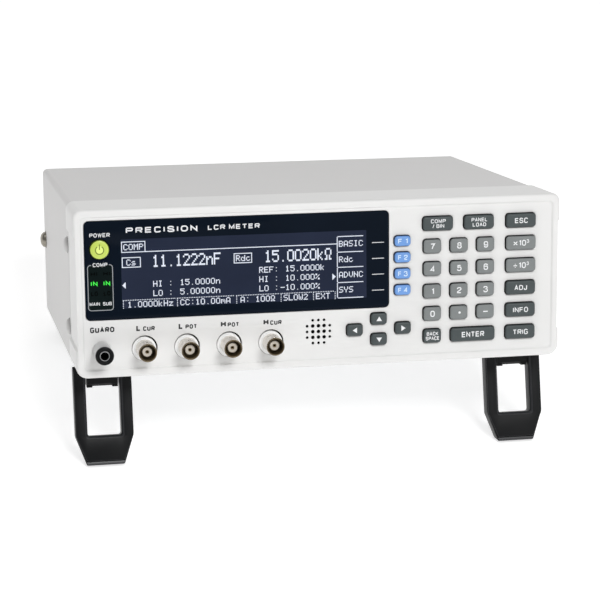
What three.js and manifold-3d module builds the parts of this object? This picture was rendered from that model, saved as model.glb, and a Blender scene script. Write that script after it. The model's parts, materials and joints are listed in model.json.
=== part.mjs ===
// Bench LCR meter with fold-out stand legs, shown nose-up on its legs.
// Millimetres, +Z up. The meter is drawn level, with x to the right, y from the front face
// into the case and z up from the bezel's bottom edge. It is then tipped back by TILT.
import * as THREE from 'three';
import { mergeVertices } from 'three/addons/utils/BufferGeometryUtils.js';
import Module from 'manifold-3d';

const wasm = await Module();
wasm.setup();

// Overall sizes
const WIDTH = 260;
const HEIGHT = 88;
const GAP = 0.3;
const TILT = THREE.MathUtils.degToRad(14.1);

// Front bezel
const BEZEL_DEPTH = 37;
const RIM_WIDTH = 4.2;
const PANEL_FRONT = 0.8;
const PANEL_BACK = 3.8;
const BEZEL_WALL = 1.9;
const BEZEL_RADIUS_BOTTOM = 6;
const BEZEL_RADIUS_TOP = 4.5;
const GRIP_BOTTOM = 15;
const GRIP_TOP = 73;
const GRIP_INSET = 1.1;

// Sheet-metal case
const COVER_SIDE = 129;
const COVER_TOP = 87;
const COVER_FRONT = BEZEL_DEPTH + GAP;
const COVER_BACK = 202.5;
const CASE_BOTTOM = 2.2;
const COVER_RADIUS = 3;
const SHEET = 1.2;
const REAR_PANEL_Y = 200;
const REAR_PANEL_THICKNESS = 1.5;

// Display window and power button
const WINDOW = { left: -124.2, right: 35.9, bottom: 30.4, top: 81.8 };
const WINDOW_FRONT = 0.6;
const WINDOW_BACK = 2.1;
const SCREEN = { left: -105.5, right: 23.8, bottom: 36, top: 72 };
const POWER_X = -116.5;
const POWER_Z = 67.2;
const POWER_RADIUS = 4.9;

// Keys
const KEY_FRONT = -1.2;
const KEY_TRAVEL = 0.8;
const KEY_CLEARANCE = 0.35;
const KEY_RADIUS = 1.6;
const KEY_FLANGE = 0.8;
const KEY_FLANGE_THICKNESS = 1;
const KEY_HEIGHT = 7.3;
const SMALL_KEY = 9.6;
const WIDE_KEY = 16.4;
const ENTER_KEY = 24.4;
const SOFT_KEY_WIDTH = 8.7;
const SOFT_KEY_HEIGHT = 5.4;
const ARROW_KEY_WIDTH = 8.6;
const ARROW_KEY_HEIGHT = 6.2;
const NUMBER_X = 59.35;
const NUMBER_PITCH = 14.6;
const RIGHT_COLUMN_X = 108.1;
const ROW_Z = 13.9;
const ROW_PITCH = 12.06;
const SOFT_KEY_X = 43.1;
const SOFT_KEY_Z = 39.5;
const SOFT_KEY_PITCH = 8.7;
const ARROW_X = 30.2;
const ARROW_REACH = 13.1;
const ARROW_RISE = 5.5;
const ARROW_Z = 19;

// Measuring terminals and speaker grille
const TERMINAL_Z = 14.6;
const BNC_X = -94.3;
const BNC_PITCH = 22.2;
const BNC_HOLE_RADIUS = 6.7;
const GUARD_X = -116.7;
const GUARD_HOLE_RADIUS = 3;
const GRILLE_X = -2.2;
const GRILLE_Z = 19;
const GRILLE_PITCH = 3.05;

// Feet and stand legs
const FOOT_X = 113.7;
const FOOT_HALF_WIDTH = 8.3;
const FOOT_BOTTOM = -11.5;
const REAR_FOOT_FRONT = 168;
const REAR_FOOT_BACK = 192;
const PIVOT_Y = 34.1;
const PIVOT_Z = -4.6;
const PIVOT_RADIUS = 2;
const LEG_LEAN = THREE.MathUtils.degToRad(10);
const LEG_HALF_WIDTH = 15.5;
const LEG_TIP_HALF_WIDTH = 10.1;
const LEG_HALF_THICKNESS = 4.2;
const LEG_LENGTH = 48.7;
const LEG_KNEE = 33.1;
const LEG_SLOT_HALF_WIDTH = 9.1;
const LEG_SLOT_END = 33;
const LEG_SOLE = 4.6;

// Closed body from triangles, turned right side out.
function body(vertices, faces) {
  let volume = 0;
  for (const [a, b, c] of faces) {
    const cross = new THREE.Vector3(...vertices[b]).cross(new THREE.Vector3(...vertices[c]));
    volume += new THREE.Vector3(...vertices[a]).dot(cross);
  }
  const ordered = volume < 0 ? faces.map(([a, b, c]) => [a, c, b]) : faces;
  return new wasm.Manifold(new wasm.Mesh({
    numProp: 3,
    vertProperties: new Float32Array(vertices.flat()),
    triVerts: new Uint32Array(ordered.flat()),
  }));
}

function fromGeometry(geometry) {
  geometry.deleteAttribute('normal');
  geometry.deleteAttribute('uv');
  const merged = mergeVertices(geometry, 1e-4);
  const position = merged.attributes.position;
  const vertices = [];
  for (let i = 0; i < position.count; i += 1) {
    vertices.push([position.getX(i), position.getY(i), position.getZ(i)]);
  }
  const faces = [];
  for (let i = 0; i < merged.index.count; i += 3) {
    faces.push([merged.index.getX(i), merged.index.getX(i + 1), merged.index.getX(i + 2)]);
  }
  return body(vertices, faces);
}

function box(x0, x1, y0, y1, z0, z1) {
  const geometry = new THREE.BoxGeometry(x1 - x0, y1 - y0, z1 - z0);
  geometry.translate((x0 + x1) / 2, (y0 + y1) / 2, (z0 + z1) / 2);
  return fromGeometry(geometry);
}

// Rounded rectangle in x and z, with separate bottom and top corner radii.
function outline(rect, bottomRadius, topRadius, steps) {
  const corners = [
    [rect.right - bottomRadius, rect.bottom + bottomRadius, bottomRadius, -90],
    [rect.right - topRadius, rect.top - topRadius, topRadius, 0],
    [rect.left + topRadius, rect.top - topRadius, topRadius, 90],
    [rect.left + bottomRadius, rect.bottom + bottomRadius, bottomRadius, 180],
  ];
  const points = [];
  for (const [x, z, radius, start] of corners) {
    for (let i = 0; i <= steps; i += 1) {
      const angle = THREE.MathUtils.degToRad(start + (90 * i) / steps);
      points.push([x + radius * Math.cos(angle), z + radius * Math.sin(angle)]);
    }
  }
  return points;
}

function circle(x, z, radius, sides) {
  const points = [];
  for (let i = 0; i < sides; i += 1) {
    const angle = (2 * Math.PI * (i + 0.5)) / sides;
    points.push([x + radius * Math.cos(angle), z + radius * Math.sin(angle)]);
  }
  return points;
}

function grow(rect, amount) {
  return {
    left: rect.left - amount,
    right: rect.right + amount,
    bottom: rect.bottom - amount,
    top: rect.top + amount,
  };
}

// Body through a row of convex outlines, each given as [y, points].
function loft(sections) {
  const count = sections[0][1].length;
  const vertices = sections.flatMap(([y, points]) => points.map(([x, z]) => [x, y, z]));
  const faces = [];
  for (let s = 0; s + 1 < sections.length; s += 1) {
    for (let i = 0; i < count; i += 1) {
      const a = s * count + i;
      const b = s * count + ((i + 1) % count);
      faces.push([a, a + count, b + count], [a, b + count, b]);
    }
  }
  const last = (sections.length - 1) * count;
  for (let i = 1; i + 1 < count; i += 1) {
    faces.push([0, i, i + 1], [last, last + i + 1, last + i]);
  }
  return body(vertices, faces);
}

function prism(points, y0, y1) {
  return loft([[y0, points], [y1, points]]);
}

// Body of revolution about a line along y. The profile is [radius, y] and starts and ends
// on the axis.
function turned(x, z, profile, sides) {
  const vertices = [];
  const rings = profile.map(([radius, y]) => {
    const start = vertices.length;
    if (radius === 0) {
      vertices.push([x, y, z]);
      return () => start;
    }
    vertices.push(...circle(x, z, radius, sides).map(([px, pz]) => [px, y, pz]));
    return (i) => start + (i % sides);
  });
  const faces = [];
  for (let s = 0; s + 1 < rings.length; s += 1) {
    for (let i = 0; i < sides; i += 1) {
      const a = rings[s](i);
      const b = rings[s](i + 1);
      const c = rings[s + 1](i + 1);
      const d = rings[s + 1](i);
      if (c !== d) faces.push([a, d, c]);
      if (a !== b) faces.push([a, c, b]);
    }
  }
  return body(vertices, faces);
}

// Prism along x from a side profile of [y, z] points.
function sideProfile(points, x0, x1) {
  const shape = new THREE.Shape(points.map(([y, z]) => new THREE.Vector2(y, z)));
  const geometry = new THREE.ExtrudeGeometry(shape, { depth: x1 - x0, bevelEnabled: false });
  const toWorld = new THREE.Matrix4().set(
    0, 0, 1, x0,
    1, 0, 0, 0,
    0, 1, 0, 0,
    0, 0, 0, 1,
  );
  geometry.applyMatrix4(toWorld);
  return fromGeometry(geometry);
}

// Prism along y from a front outline of [x, z] points, which may be hollow cornered.
function frontProfile(points, y0, y1) {
  const shape = new THREE.Shape(points.map(([x, z]) => new THREE.Vector2(x, z)));
  const geometry = new THREE.ExtrudeGeometry(shape, { depth: y1 - y0, bevelEnabled: false });
  geometry.rotateX(Math.PI / 2);
  geometry.translate(0, y1, 0);
  return fromGeometry(geometry);
}

// Low dome on the outside of the case, side -1 for left or 1 for right.
function sideDome(side, y, z, radius, height) {
  const profile = [
    [0, -2],
    [radius, -2],
    [radius, 0.2],
    [radius * 0.86, height * 0.55],
    [radius * 0.5, height * 0.9],
    [0, height],
  ];
  const dome = turned(0, 0, profile, 12);
  return dome.rotate([0, 0, -90 * side]).translate([side * COVER_SIDE, y, z]);
}

const meter = new THREE.Group();

function add(name, manifold, colour, roughness, metalness) {
  const mesh = manifold.getMesh();
  const geometry = new THREE.BufferGeometry();
  geometry.setAttribute('position', new THREE.BufferAttribute(mesh.vertProperties, 3));
  geometry.setIndex(new THREE.BufferAttribute(mesh.triVerts, 1));
  const material = new THREE.MeshStandardMaterial({ color: colour, roughness, metalness });
  const node = new THREE.Mesh(geometry, material);
  node.name = name;
  meter.add(node);
}

const OFF_WHITE = 0xeeeeec;
const COVER_GREY = 0xcfcfcc;
const BLACK_PLASTIC = 0x232528;
const BOARD_GREEN = 0x1e5a34;
const NUMBER_KEY = 0x7d8281;
const DARK_KEY = 0x4a5656;
const SOFT_KEY = 0x74a6e4;
const NICKEL = 0xb9b6ae;

// Key layout: name, centre, width, height and colour.
function keyAt(name, x, z, width, height, colour) {
  const rect = {
    left: x - width / 2,
    right: x + width / 2,
    bottom: z - height / 2,
    top: z + height / 2,
  };
  return { name, rect, colour };
}

const keys = [];
const numberRows = [['0', 'point', 'minus'], ['1', '2', '3'], ['4', '5', '6'], ['7', '8', '9']];
numberRows.forEach((row, r) => {
  row.forEach((label, c) => {
    const x = NUMBER_X + c * NUMBER_PITCH;
    const z = ROW_Z + (r + 1) * ROW_PITCH;
    keys.push(keyAt(`key_${label}`, x, z, SMALL_KEY, KEY_HEIGHT, NUMBER_KEY));
  });
});
const rightColumn = ['trig', 'info', 'adj', 'divide_1000', 'times_1000', 'esc'];
rightColumn.forEach((label, r) => {
  const z = ROW_Z + r * ROW_PITCH;
  const colour = label.endsWith('1000') ? NUMBER_KEY : DARK_KEY;
  keys.push(keyAt(`key_${label}`, RIGHT_COLUMN_X, z, WIDE_KEY, KEY_HEIGHT, colour));
});
const topRowZ = ROW_Z + 5 * ROW_PITCH;
keys.push(keyAt('key_comp_bin', 62.4, topRowZ, WIDE_KEY, KEY_HEIGHT, DARK_KEY));
keys.push(keyAt('key_panel_load', 84.9, topRowZ, WIDE_KEY, KEY_HEIGHT, DARK_KEY));
keys.push(keyAt('key_back_space', NUMBER_X, ROW_Z, SMALL_KEY, KEY_HEIGHT, DARK_KEY));
keys.push(keyAt('key_enter', 81.7, ROW_Z, ENTER_KEY, KEY_HEIGHT, DARK_KEY));
for (let i = 0; i < 4; i += 1) {
  const z = SOFT_KEY_Z + (3 - i) * SOFT_KEY_PITCH;
  keys.push(keyAt(`key_f${i + 1}`, SOFT_KEY_X, z, SOFT_KEY_WIDTH, SOFT_KEY_HEIGHT, SOFT_KEY));
}
const arrows = [
  ['left', -ARROW_REACH, 0],
  ['right', ARROW_REACH, 0],
  ['up', 0, ARROW_RISE],
  ['down', 0, -ARROW_RISE],
];
for (const [label, dx, dz] of arrows) {
  const x = ARROW_X + dx;
  const z = ARROW_Z + dz;
  keys.push(keyAt(`key_${label}`, x, z, ARROW_KEY_WIDTH, ARROW_KEY_HEIGHT, DARK_KEY));
}

for (const key of keys) {
  const body12 = outline(key.rect, KEY_RADIUS, KEY_RADIUS, 2);
  const face = outline(grow(key.rect, -0.45), KEY_RADIUS - 0.45, KEY_RADIUS - 0.45, 2);
  const flangeRect = grow(key.rect, KEY_FLANGE);
  const flange = outline(flangeRect, KEY_RADIUS, KEY_RADIUS, 2);
  const flangeFront = PANEL_BACK + GAP;
  add(key.name, loft([
    [KEY_FRONT, face],
    [KEY_FRONT + 0.45, body12],
    [flangeFront, body12],
    [flangeFront, flange],
    [flangeFront + KEY_FLANGE_THICKNESS, flange],
  ]), key.colour, 0.55, 0);
}

// Front bezel: hollow moulding with a raised rim, openings for keys, window and jacks.
const bezelRect = { left: -WIDTH / 2, right: WIDTH / 2, bottom: 0, top: HEIGHT };
function bezelOutline(inset) {
  const bottom = BEZEL_RADIUS_BOTTOM - inset;
  const top = BEZEL_RADIUS_TOP - inset;
  return outline(grow(bezelRect, -inset), bottom, top, 4);
}
let bezel = loft([
  [0, bezelOutline(1.2)],
  [0.35, bezelOutline(0.35)],
  [1.2, bezelOutline(0)],
  [BEZEL_DEPTH, bezelOutline(0)],
]);
const panelRect = grow(bezelRect, -RIM_WIDTH);
bezel = bezel.subtract(loft([
  [-1, outline(grow(panelRect, 0.7), 3.2, 3.2, 3)],
  [0, outline(grow(panelRect, 0.3), 2.8, 2.8, 3)],
  [PANEL_FRONT, outline(grow(panelRect, -0.1), 2.4, 2.4, 3)],
]));
const cavityRect = { left: -127.2, right: 127.2, bottom: BEZEL_WALL, top: HEIGHT - BEZEL_WALL };
bezel = bezel.subtract(prism(outline(cavityRect, 4.2, 3, 4), PANEL_BACK, BEZEL_DEPTH + 1));
for (const side of [-1, 1]) {
  const inner = side * (WIDTH / 2 - GRIP_INSET);
  const outer = side * (WIDTH / 2 + 1);
  const x0 = Math.min(inner, outer);
  const x1 = Math.max(inner, outer);
  bezel = bezel.subtract(box(x0, x1, -1, BEZEL_DEPTH + 1, GRIP_BOTTOM, GRIP_TOP));
}
const pocket = outline(grow(WINDOW, GAP), 2.5, 2.5, 3);
bezel = bezel.subtract(prism(pocket, -1, WINDOW_BACK + GAP));
const screenHole = outline(grow(SCREEN, 1), 1, 1, 1);
bezel = bezel.subtract(prism(screenHole, 0, PANEL_BACK + 1));
const powerHole = circle(POWER_X, POWER_Z, POWER_RADIUS + KEY_CLEARANCE, 16);
bezel = bezel.subtract(prism(powerHole, 0, PANEL_BACK + 1));
for (const key of keys) {
  const hole = outline(grow(key.rect, KEY_CLEARANCE), KEY_RADIUS, KEY_RADIUS, 2);
  bezel = bezel.subtract(prism(hole, 0, PANEL_BACK + 1));
}
const bncNames = ['bnc_low_current', 'bnc_low_potential', 'bnc_high_potential', 'bnc_high_current'];
bncNames.forEach((name, i) => {
  const hole = circle(BNC_X + i * BNC_PITCH, TERMINAL_Z, BNC_HOLE_RADIUS, 16);
  bezel = bezel.subtract(prism(hole, 0, PANEL_BACK + 1));
});
const guardHole = circle(GUARD_X, TERMINAL_Z, GUARD_HOLE_RADIUS, 12);
bezel = bezel.subtract(prism(guardHole, 0, PANEL_BACK + 1));
for (let column = -2; column <= 2; column += 1) {
  for (let row = -2; row <= 2; row += 1) {
    if (Math.abs(column) + Math.abs(row) < 4) {
      const inner = Math.abs(column) < 2 && Math.abs(row) < 2;
      const x = GRILLE_X + column * GRILLE_PITCH;
      const z = GRILLE_Z + row * GRILLE_PITCH;
      const hole = circle(x, z, inner ? 0.95 : 0.7, 6);
      bezel = bezel.subtract(prism(hole, 0, PANEL_BACK + 1));
    }
  }
}
add('front_bezel', bezel, OFF_WHITE, 0.5, 0);

// Display window, display module and power button
const pane = prism(outline(WINDOW, 2.2, 2.2, 3), WINDOW_FRONT, WINDOW_BACK);
add('display_window', pane.subtract(prism(powerHole, 0, PANEL_BACK)), 0x121622, 0.12, 0);
const moduleRect = grow(SCREEN, 3);
const glassRecess = box(SCREEN.left, SCREEN.right, 4, 4.9, SCREEN.bottom, SCREEN.top);
const moduleBody = prism(outline(moduleRect, 0.5, 0.5, 1), PANEL_BACK + GAP, 9);
add('display_module', moduleBody.subtract(glassRecess), 0x262a3c, 0.3, 0);
add('power_button', turned(POWER_X, POWER_Z, [
  [0, -0.5],
  [POWER_RADIUS - 0.6, -0.5],
  [POWER_RADIUS, 0],
  [POWER_RADIUS, PANEL_BACK + GAP],
  [POWER_RADIUS + 1.2, PANEL_BACK + GAP],
  [POWER_RADIUS + 1.2, PANEL_BACK + GAP + 1],
  [0, PANEL_BACK + GAP + 1],
], 16), 0xc8e05a, 0.35, 0);

// Key mat and key board behind the keypad
const boardOutline = [
  [8, 6], [125, 6], [125, 83], [34, 83], [34, 31], [8, 31],
];
const matOutline = [
  [9, 7], [124, 7], [124, 82], [35, 82], [35, 30], [9, 30],
];
const matFront = PANEL_BACK + GAP + KEY_FLANGE_THICKNESS + KEY_TRAVEL + GAP;
add('key_mat', frontProfile(matOutline, matFront, matFront + 1), 0x9c9c98, 0.9, 0);
add('key_board', frontProfile(boardOutline, matFront + 1.2, matFront + 2.8), BOARD_GREEN, 0.6, 0);

// Four BNC jacks: white bush in the panel, bayonet barrel with two lugs, centre contact
bncNames.forEach((name, i) => {
  const x = BNC_X + i * BNC_PITCH;
  const bush = BNC_HOLE_RADIUS - 0.4;
  const jack = turned(x, TERMINAL_Z, [
    [0, -8],
    [1.1, -8],
    [1.1, -7],
    [2.4, -7],
    [2.4, -4],
    [4.1, -4],
    [4.1, -12.2],
    [4.5, -12.2],
    [4.8, -11.9],
    [4.8, 0],
    [5.4, 1.2],
    [bush, 1.2],
    [bush, PANEL_BACK + GAP],
    [8, PANEL_BACK + GAP],
    [8, 6.2],
    [3, 6.2],
    [3, 18],
    [0, 18],
  ], 16);
  const topLug = box(x - 0.9, x + 0.9, -9.8, -8, TERMINAL_Z + 4.4, TERMINAL_Z + 5.6);
  const bottomLug = box(x - 0.9, x + 0.9, -9.8, -8, TERMINAL_Z - 5.6, TERMINAL_Z - 4.4);
  add(name, jack.add(topLug).add(bottomLug), NICKEL, 0.35, 0.9);
});

// Guard terminal: round post with a socket in its face
add('guard_terminal', turned(GUARD_X, TERMINAL_Z, [
  [0, -7],
  [2, -7],
  [2, -15.2],
  [4.3, -15.2],
  [4.8, -14.6],
  [4.8, -9],
  [4.4, -8.6],
  [4.4, 0],
  [4.8, 0.5],
  [2.6, 0.5],
  [2.6, PANEL_BACK + GAP],
  [2.2, 4.4],
  [2.2, 12],
  [0, 12],
], 16), 0x8f8f8c, 0.45, 0.3);

add('speaker', turned(GRILLE_X, GRILLE_Z, [
  [0, 4.4], [8.5, 4.4], [8.5, 6], [6.5, 9], [6.5, 12], [0, 12],
], 16), 0x1c1c1e, 0.8, 0);

// Sheet-metal top cover with two raised round bosses on each side
const coverRect = { left: -COVER_SIDE, right: COVER_SIDE, bottom: CASE_BOTTOM, top: COVER_TOP };
const hollowRect = {
  left: -COVER_SIDE + SHEET,
  right: COVER_SIDE - SHEET,
  bottom: CASE_BOTTOM - 5,
  top: COVER_TOP - SHEET,
};
let cover = prism(outline(coverRect, 0.1, COVER_RADIUS, 4), COVER_FRONT, COVER_BACK);
for (const side of [-1, 1]) {
  for (const z of [20, 64]) {
    cover = cover.add(sideDome(side, 43.6, z, 4.3, 2.2));
  }
}
const hollow = outline(hollowRect, 0.1, COVER_RADIUS - SHEET, 4);
cover = cover.subtract(prism(hollow, COVER_FRONT - 1, COVER_BACK + 1));
add('top_cover', cover, COVER_GREY, 0.5, 0.1);

for (const side of [-1, 1]) {
  const name = side < 0 ? 'side_screw_left' : 'side_screw_right';
  const head = sideDome(side, 193.5, 45.2, 4.9, 3.3 + GAP);
  const outside = COVER_SIDE + GAP;
  const keep = box(Math.min(side * outside, side * 140), Math.max(side * outside, side * 140),
    180, 205, 30, 60);
  add(name, head.intersect(keep), NICKEL, 0.35, 0.8);
}

// Bottom chassis: folded tray
const trayBack = REAR_PANEL_Y - GAP;
const trayFront = COVER_FRONT + GAP;
let tray = box(-126.9, 126.9, trayFront, trayBack, CASE_BOTTOM, CASE_BOTTOM + SHEET);
tray = tray.add(box(-122, 122, 12, trayFront + 1, CASE_BOTTOM, CASE_BOTTOM + SHEET));
for (const side of [-1, 1]) {
  const x0 = side < 0 ? -126.9 : 126.9 - SHEET;
  tray = tray.add(box(x0, x0 + SHEET, trayFront, trayBack, CASE_BOTTOM, 14));
}
add('bottom_chassis', tray, 0xa9abad, 0.4, 0.8);

// Rear panel with cut-outs for the inlet, rocker switch, EXT I/O connector and slot cover
const INLET = { x: 96, z: 28, width: 27, height: 19.8 };
const ROCKER = { x: 62, z: 28, width: 12.8, height: 19.2 };
const ROCKER_PIVOT_Y = 197;
const ROCKER_SWING = 15;
const EXT_IO = { x: -72, z: 28, width: 55.4, height: 8.6 };
const SLOT = { x: -64, z: 62, width: 92, height: 24 };
function rectOf(item, extra) {
  return {
    left: item.x - item.width / 2 - extra,
    right: item.x + item.width / 2 + extra,
    bottom: item.z - item.height / 2 - extra,
    top: item.z + item.height / 2 + extra,
  };
}
const rearOutside = REAR_PANEL_Y + REAR_PANEL_THICKNESS;
const rearRect = { left: -127.4, right: 127.4, bottom: 3.8, top: 85.4 };
let rear = prism(outline(rearRect, 0.1, 3.2, 4), REAR_PANEL_Y, rearOutside);
for (const item of [INLET, ROCKER, EXT_IO, SLOT]) {
  const hole = outline(rectOf(item, GAP), 0.5, 0.5, 1);
  rear = rear.subtract(prism(hole, REAR_PANEL_Y - 1, rearOutside + 1));
}
add('rear_panel', rear, COVER_GREY, 0.5, 0.1);

// Mains inlet: flanged body with a socket and three blades
const inletFace = rearOutside + GAP + 2.4;
const inletSocket = { ...INLET, width: 24.2, height: 16.2 };
let inlet = prism(outline(rectOf(INLET, 0), 1, 1, 1), 182, rearOutside + 1);
inlet = inlet.add(prism(outline(rectOf(INLET, 2.2), 2, 2, 2), rearOutside + GAP, inletFace));
const socketOutline = outline(rectOf(inletSocket, 0), 1, 4, 2);
inlet = inlet.subtract(prism(socketOutline, 187, inletFace + 1));
for (const [dx, dz] of [[-7, -2.6], [0, 3], [7, -2.6]]) {
  const x = INLET.x + dx;
  const z = INLET.z + dz;
  inlet = inlet.add(box(x - 1, x + 1, 186, 196.5, z - 2, z + 2));
}
add('mains_inlet', inlet, BLACK_PLASTIC, 0.6, 0);

// Main power switch: frame and rocker
const rockerInside = { ...ROCKER, width: 9.6, height: 15.6 };
let rockerFrame = prism(outline(rectOf(ROCKER, 0), 0.5, 0.5, 1), 186, rearOutside + 1);
const rockerFlange = outline(rectOf(ROCKER, 1.2), 1, 1, 1);
rockerFrame = rockerFrame.add(prism(rockerFlange, rearOutside + GAP, rearOutside + 1.8));
const rockerWell = outline(rectOf(rockerInside, 0), 0.3, 0.3, 1);
rockerFrame = rockerFrame.subtract(prism(rockerWell, 194, rearOutside + 3));
add('main_switch_frame', rockerFrame, BLACK_PLASTIC, 0.6, 0);
const rockerSide = [
  [1, 6.9], [6.08, 6.36], [5.2, 0], [6.08, -6.36], [1, -6.9], [-1, 0],
];
const rocker = sideProfile(rockerSide, ROCKER.x - 4.3, ROCKER.x + 4.3)
  .rotate([ROCKER_SWING / 2, 0, 0])
  .translate([0, ROCKER_PIVOT_Y, ROCKER.z]);
add('main_switch_rocker', rocker, 0x1b1b1d, 0.5, 0);

// EXT I/O connector: flange, D-shaped shell and contact block with two rows of holes
let extIo = prism(outline(rectOf(EXT_IO, 0), 3.4, 1.2, 2), 190, rearOutside + 5.8);
const flangePlate = outline(rectOf({ ...EXT_IO, width: 69, height: 12.5 }, 0), 1, 1, 1);
extIo = extIo.add(prism(flangePlate, rearOutside + GAP, rearOutside + 1.2));
for (let i = 0; i < 19; i += 1) {
  const x = EXT_IO.x + (i - 9) * 2.76;
  extIo = extIo.subtract(prism(circle(x, EXT_IO.z + 1.4, 0.6, 4), 204, 209));
  if (i < 18) {
    extIo = extIo.subtract(prism(circle(x + 1.38, EXT_IO.z - 1.4, 0.6, 4), 204, 209));
  }
}
add('ext_io_connector', extIo, NICKEL, 0.4, 0.8);

// Blank cover over the interface slot, held at both ends
const plate = prism(outline(rectOf(SLOT, 3), 1, 1, 1), rearOutside + GAP, rearOutside + 1.5);
const step = prism(outline(rectOf(SLOT, -0.5), 0.5, 0.5, 1), REAR_PANEL_Y - 1, rearOutside + 1);
add('interface_slot_cover', plate.add(step), COVER_GREY, 0.5, 0.2);

// Circuit board with its larger components, and the power supply module
let board = box(-120, 58, 48, 186, 12, 13.6);
for (const [x, y, w, d, h] of [
  [-70, 90, 22, 22, 3], [-20, 120, 30, 18, 6], [30, 80, 16, 40, 14], [-95, 150, 20, 26, 12],
]) {
  board = board.add(box(x - w / 2, x + w / 2, y - d / 2, y + d / 2, 13, 13.6 + h));
}
add('main_board', board, BOARD_GREEN, 0.6, 0);
const supply = box(66, 120, 60, 172, 8, 48);
add('power_supply', supply.subtract(box(70, 116, 64, 168, 40, 49)), 0x8d9094, 0.4, 0.8);

// Front feet with pivot stubs, and rear feet bevelled to stand flat when tipped back
const groundSlope = Math.tan(TILT);
const frontFootProfile = [
  [30.3, -GAP], [37.6, -GAP], [37.6, CASE_BOTTOM - GAP], [62, CASE_BOTTOM - GAP],
  [62, FOOT_BOTTOM], [44, FOOT_BOTTOM], [32, -10.9], [30.3, -9.4],
];
const stub = turned(0, 0, [[0, -11.8], [PIVOT_RADIUS, -11.8], [PIVOT_RADIUS, 11.8], [0, 11.8]], 16)
  .rotate([0, 0, 90]);
let frontFoot = sideProfile(frontFootProfile, -FOOT_HALF_WIDTH, FOOT_HALF_WIDTH);
frontFoot = frontFoot.add(stub.translate([0, PIVOT_Y, PIVOT_Z]));
for (const side of [-1, 1]) {
  const x0 = side < 0 ? -FOOT_HALF_WIDTH : FOOT_HALF_WIDTH - 3;
  frontFoot = frontFoot.add(box(x0, x0 + 3, 31.2, 35, -11.5, -9));
}

// Leg drawn hanging straight down from its pivot, then swung forward by LEG_LEAN.
const soleAngle = LEG_LEAN + TILT;
const soleRise = LEG_SOLE * Math.tan(soleAngle);
const legSide = [];
for (let i = 0; i <= 8; i += 1) {
  const angle = (Math.PI * i) / 8;
  legSide.push([LEG_HALF_THICKNESS * Math.cos(angle), LEG_HALF_THICKNESS * Math.sin(angle)]);
}
legSide.push([-LEG_HALF_THICKNESS, -LEG_LENGTH + 2.3]);
legSide.push([-LEG_HALF_THICKNESS + 0.8, -LEG_LENGTH + 2]);
legSide.push([-LEG_HALF_THICKNESS + 0.8, -LEG_LENGTH]);
legSide.push([LEG_HALF_THICKNESS - LEG_SOLE, -LEG_LENGTH]);
legSide.push([LEG_HALF_THICKNESS, -LEG_LENGTH + soleRise]);
const legFront = [
  [-LEG_HALF_WIDTH, 6], [-LEG_HALF_WIDTH, -LEG_KNEE], [-LEG_TIP_HALF_WIDTH, -LEG_LENGTH - 1],
  [LEG_TIP_HALF_WIDTH, -LEG_LENGTH - 1], [LEG_HALF_WIDTH, -LEG_KNEE], [LEG_HALF_WIDTH, 6],
  [LEG_SLOT_HALF_WIDTH, 6], [LEG_SLOT_HALF_WIDTH, -LEG_SLOT_END + 1.5],
  [LEG_SLOT_HALF_WIDTH - 1.5, -LEG_SLOT_END], [-LEG_SLOT_HALF_WIDTH + 1.5, -LEG_SLOT_END],
  [-LEG_SLOT_HALF_WIDTH, -LEG_SLOT_END + 1.5], [-LEG_SLOT_HALF_WIDTH, 6],
];
let leg = sideProfile(legSide, -20, 20).intersect(frontProfile(legFront, -6, 6));
const pinHole = turned(0, 0, [
  [0, -12.2], [PIVOT_RADIUS + GAP, -12.2], [PIVOT_RADIUS + GAP, 12.2], [0, 12.2],
], 16).rotate([0, 0, 90]);
leg = leg.subtract(pinHole);
leg = leg.rotate([-THREE.MathUtils.radToDeg(LEG_LEAN), 0, 0]).translate([0, PIVOT_Y, PIVOT_Z]);

// Ground line in the level meter: through the toe of the leg's sole, rising by TILT.
const toeY = LEG_HALF_THICKNESS - LEG_SOLE;
const soleY = PIVOT_Y + toeY * Math.cos(LEG_LEAN) - LEG_LENGTH * Math.sin(LEG_LEAN);
const soleZ = PIVOT_Z - toeY * Math.sin(LEG_LEAN) - LEG_LENGTH * Math.cos(LEG_LEAN);
const heelZ = soleZ + (REAR_FOOT_BACK - soleY) * groundSlope;
const bevelY = soleY + (FOOT_BOTTOM - soleZ) / groundSlope;
const rearFoot = sideProfile([
  [REAR_FOOT_FRONT, CASE_BOTTOM - GAP], [REAR_FOOT_BACK, CASE_BOTTOM - GAP],
  [REAR_FOOT_BACK, heelZ], [bevelY, FOOT_BOTTOM],
  [REAR_FOOT_FRONT + 1.5, FOOT_BOTTOM], [REAR_FOOT_FRONT, FOOT_BOTTOM + 1.5],
], -FOOT_HALF_WIDTH, FOOT_HALF_WIDTH);

for (const [label, side] of [['left', -1], ['right', 1]]) {
  const x = side * FOOT_X;
  add(`front_foot_${label}`, frontFoot.translate([x, 0, 0]), BLACK_PLASTIC, 0.6, 0);
  add(`stand_leg_${label}`, leg.translate([x, 0, 0]), BLACK_PLASTIC, 0.55, 0);
  add(`rear_foot_${label}`, rearFoot.translate([x, 0, 0]), BLACK_PLASTIC, 0.8, 0);
}

// Tip the meter back, stand it on the floor and centre it over the origin.
meter.rotation.x = -TILT;
const model = new THREE.Group();
model.name = 'lcr_meter';
model.add(meter);
model.updateMatrixWorld(true);
const bounds = new THREE.Box3().setFromObject(model, true);
meter.position.x -= (bounds.min.x + bounds.max.x) / 2;
meter.position.y -= (bounds.min.y + bounds.max.y) / 2;
meter.position.z -= bounds.min.z;
model.updateMatrixWorld(true);

export default model;
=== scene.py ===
import json
import math

import bmesh
import bpy
from mathutils import Matrix, Vector


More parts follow.
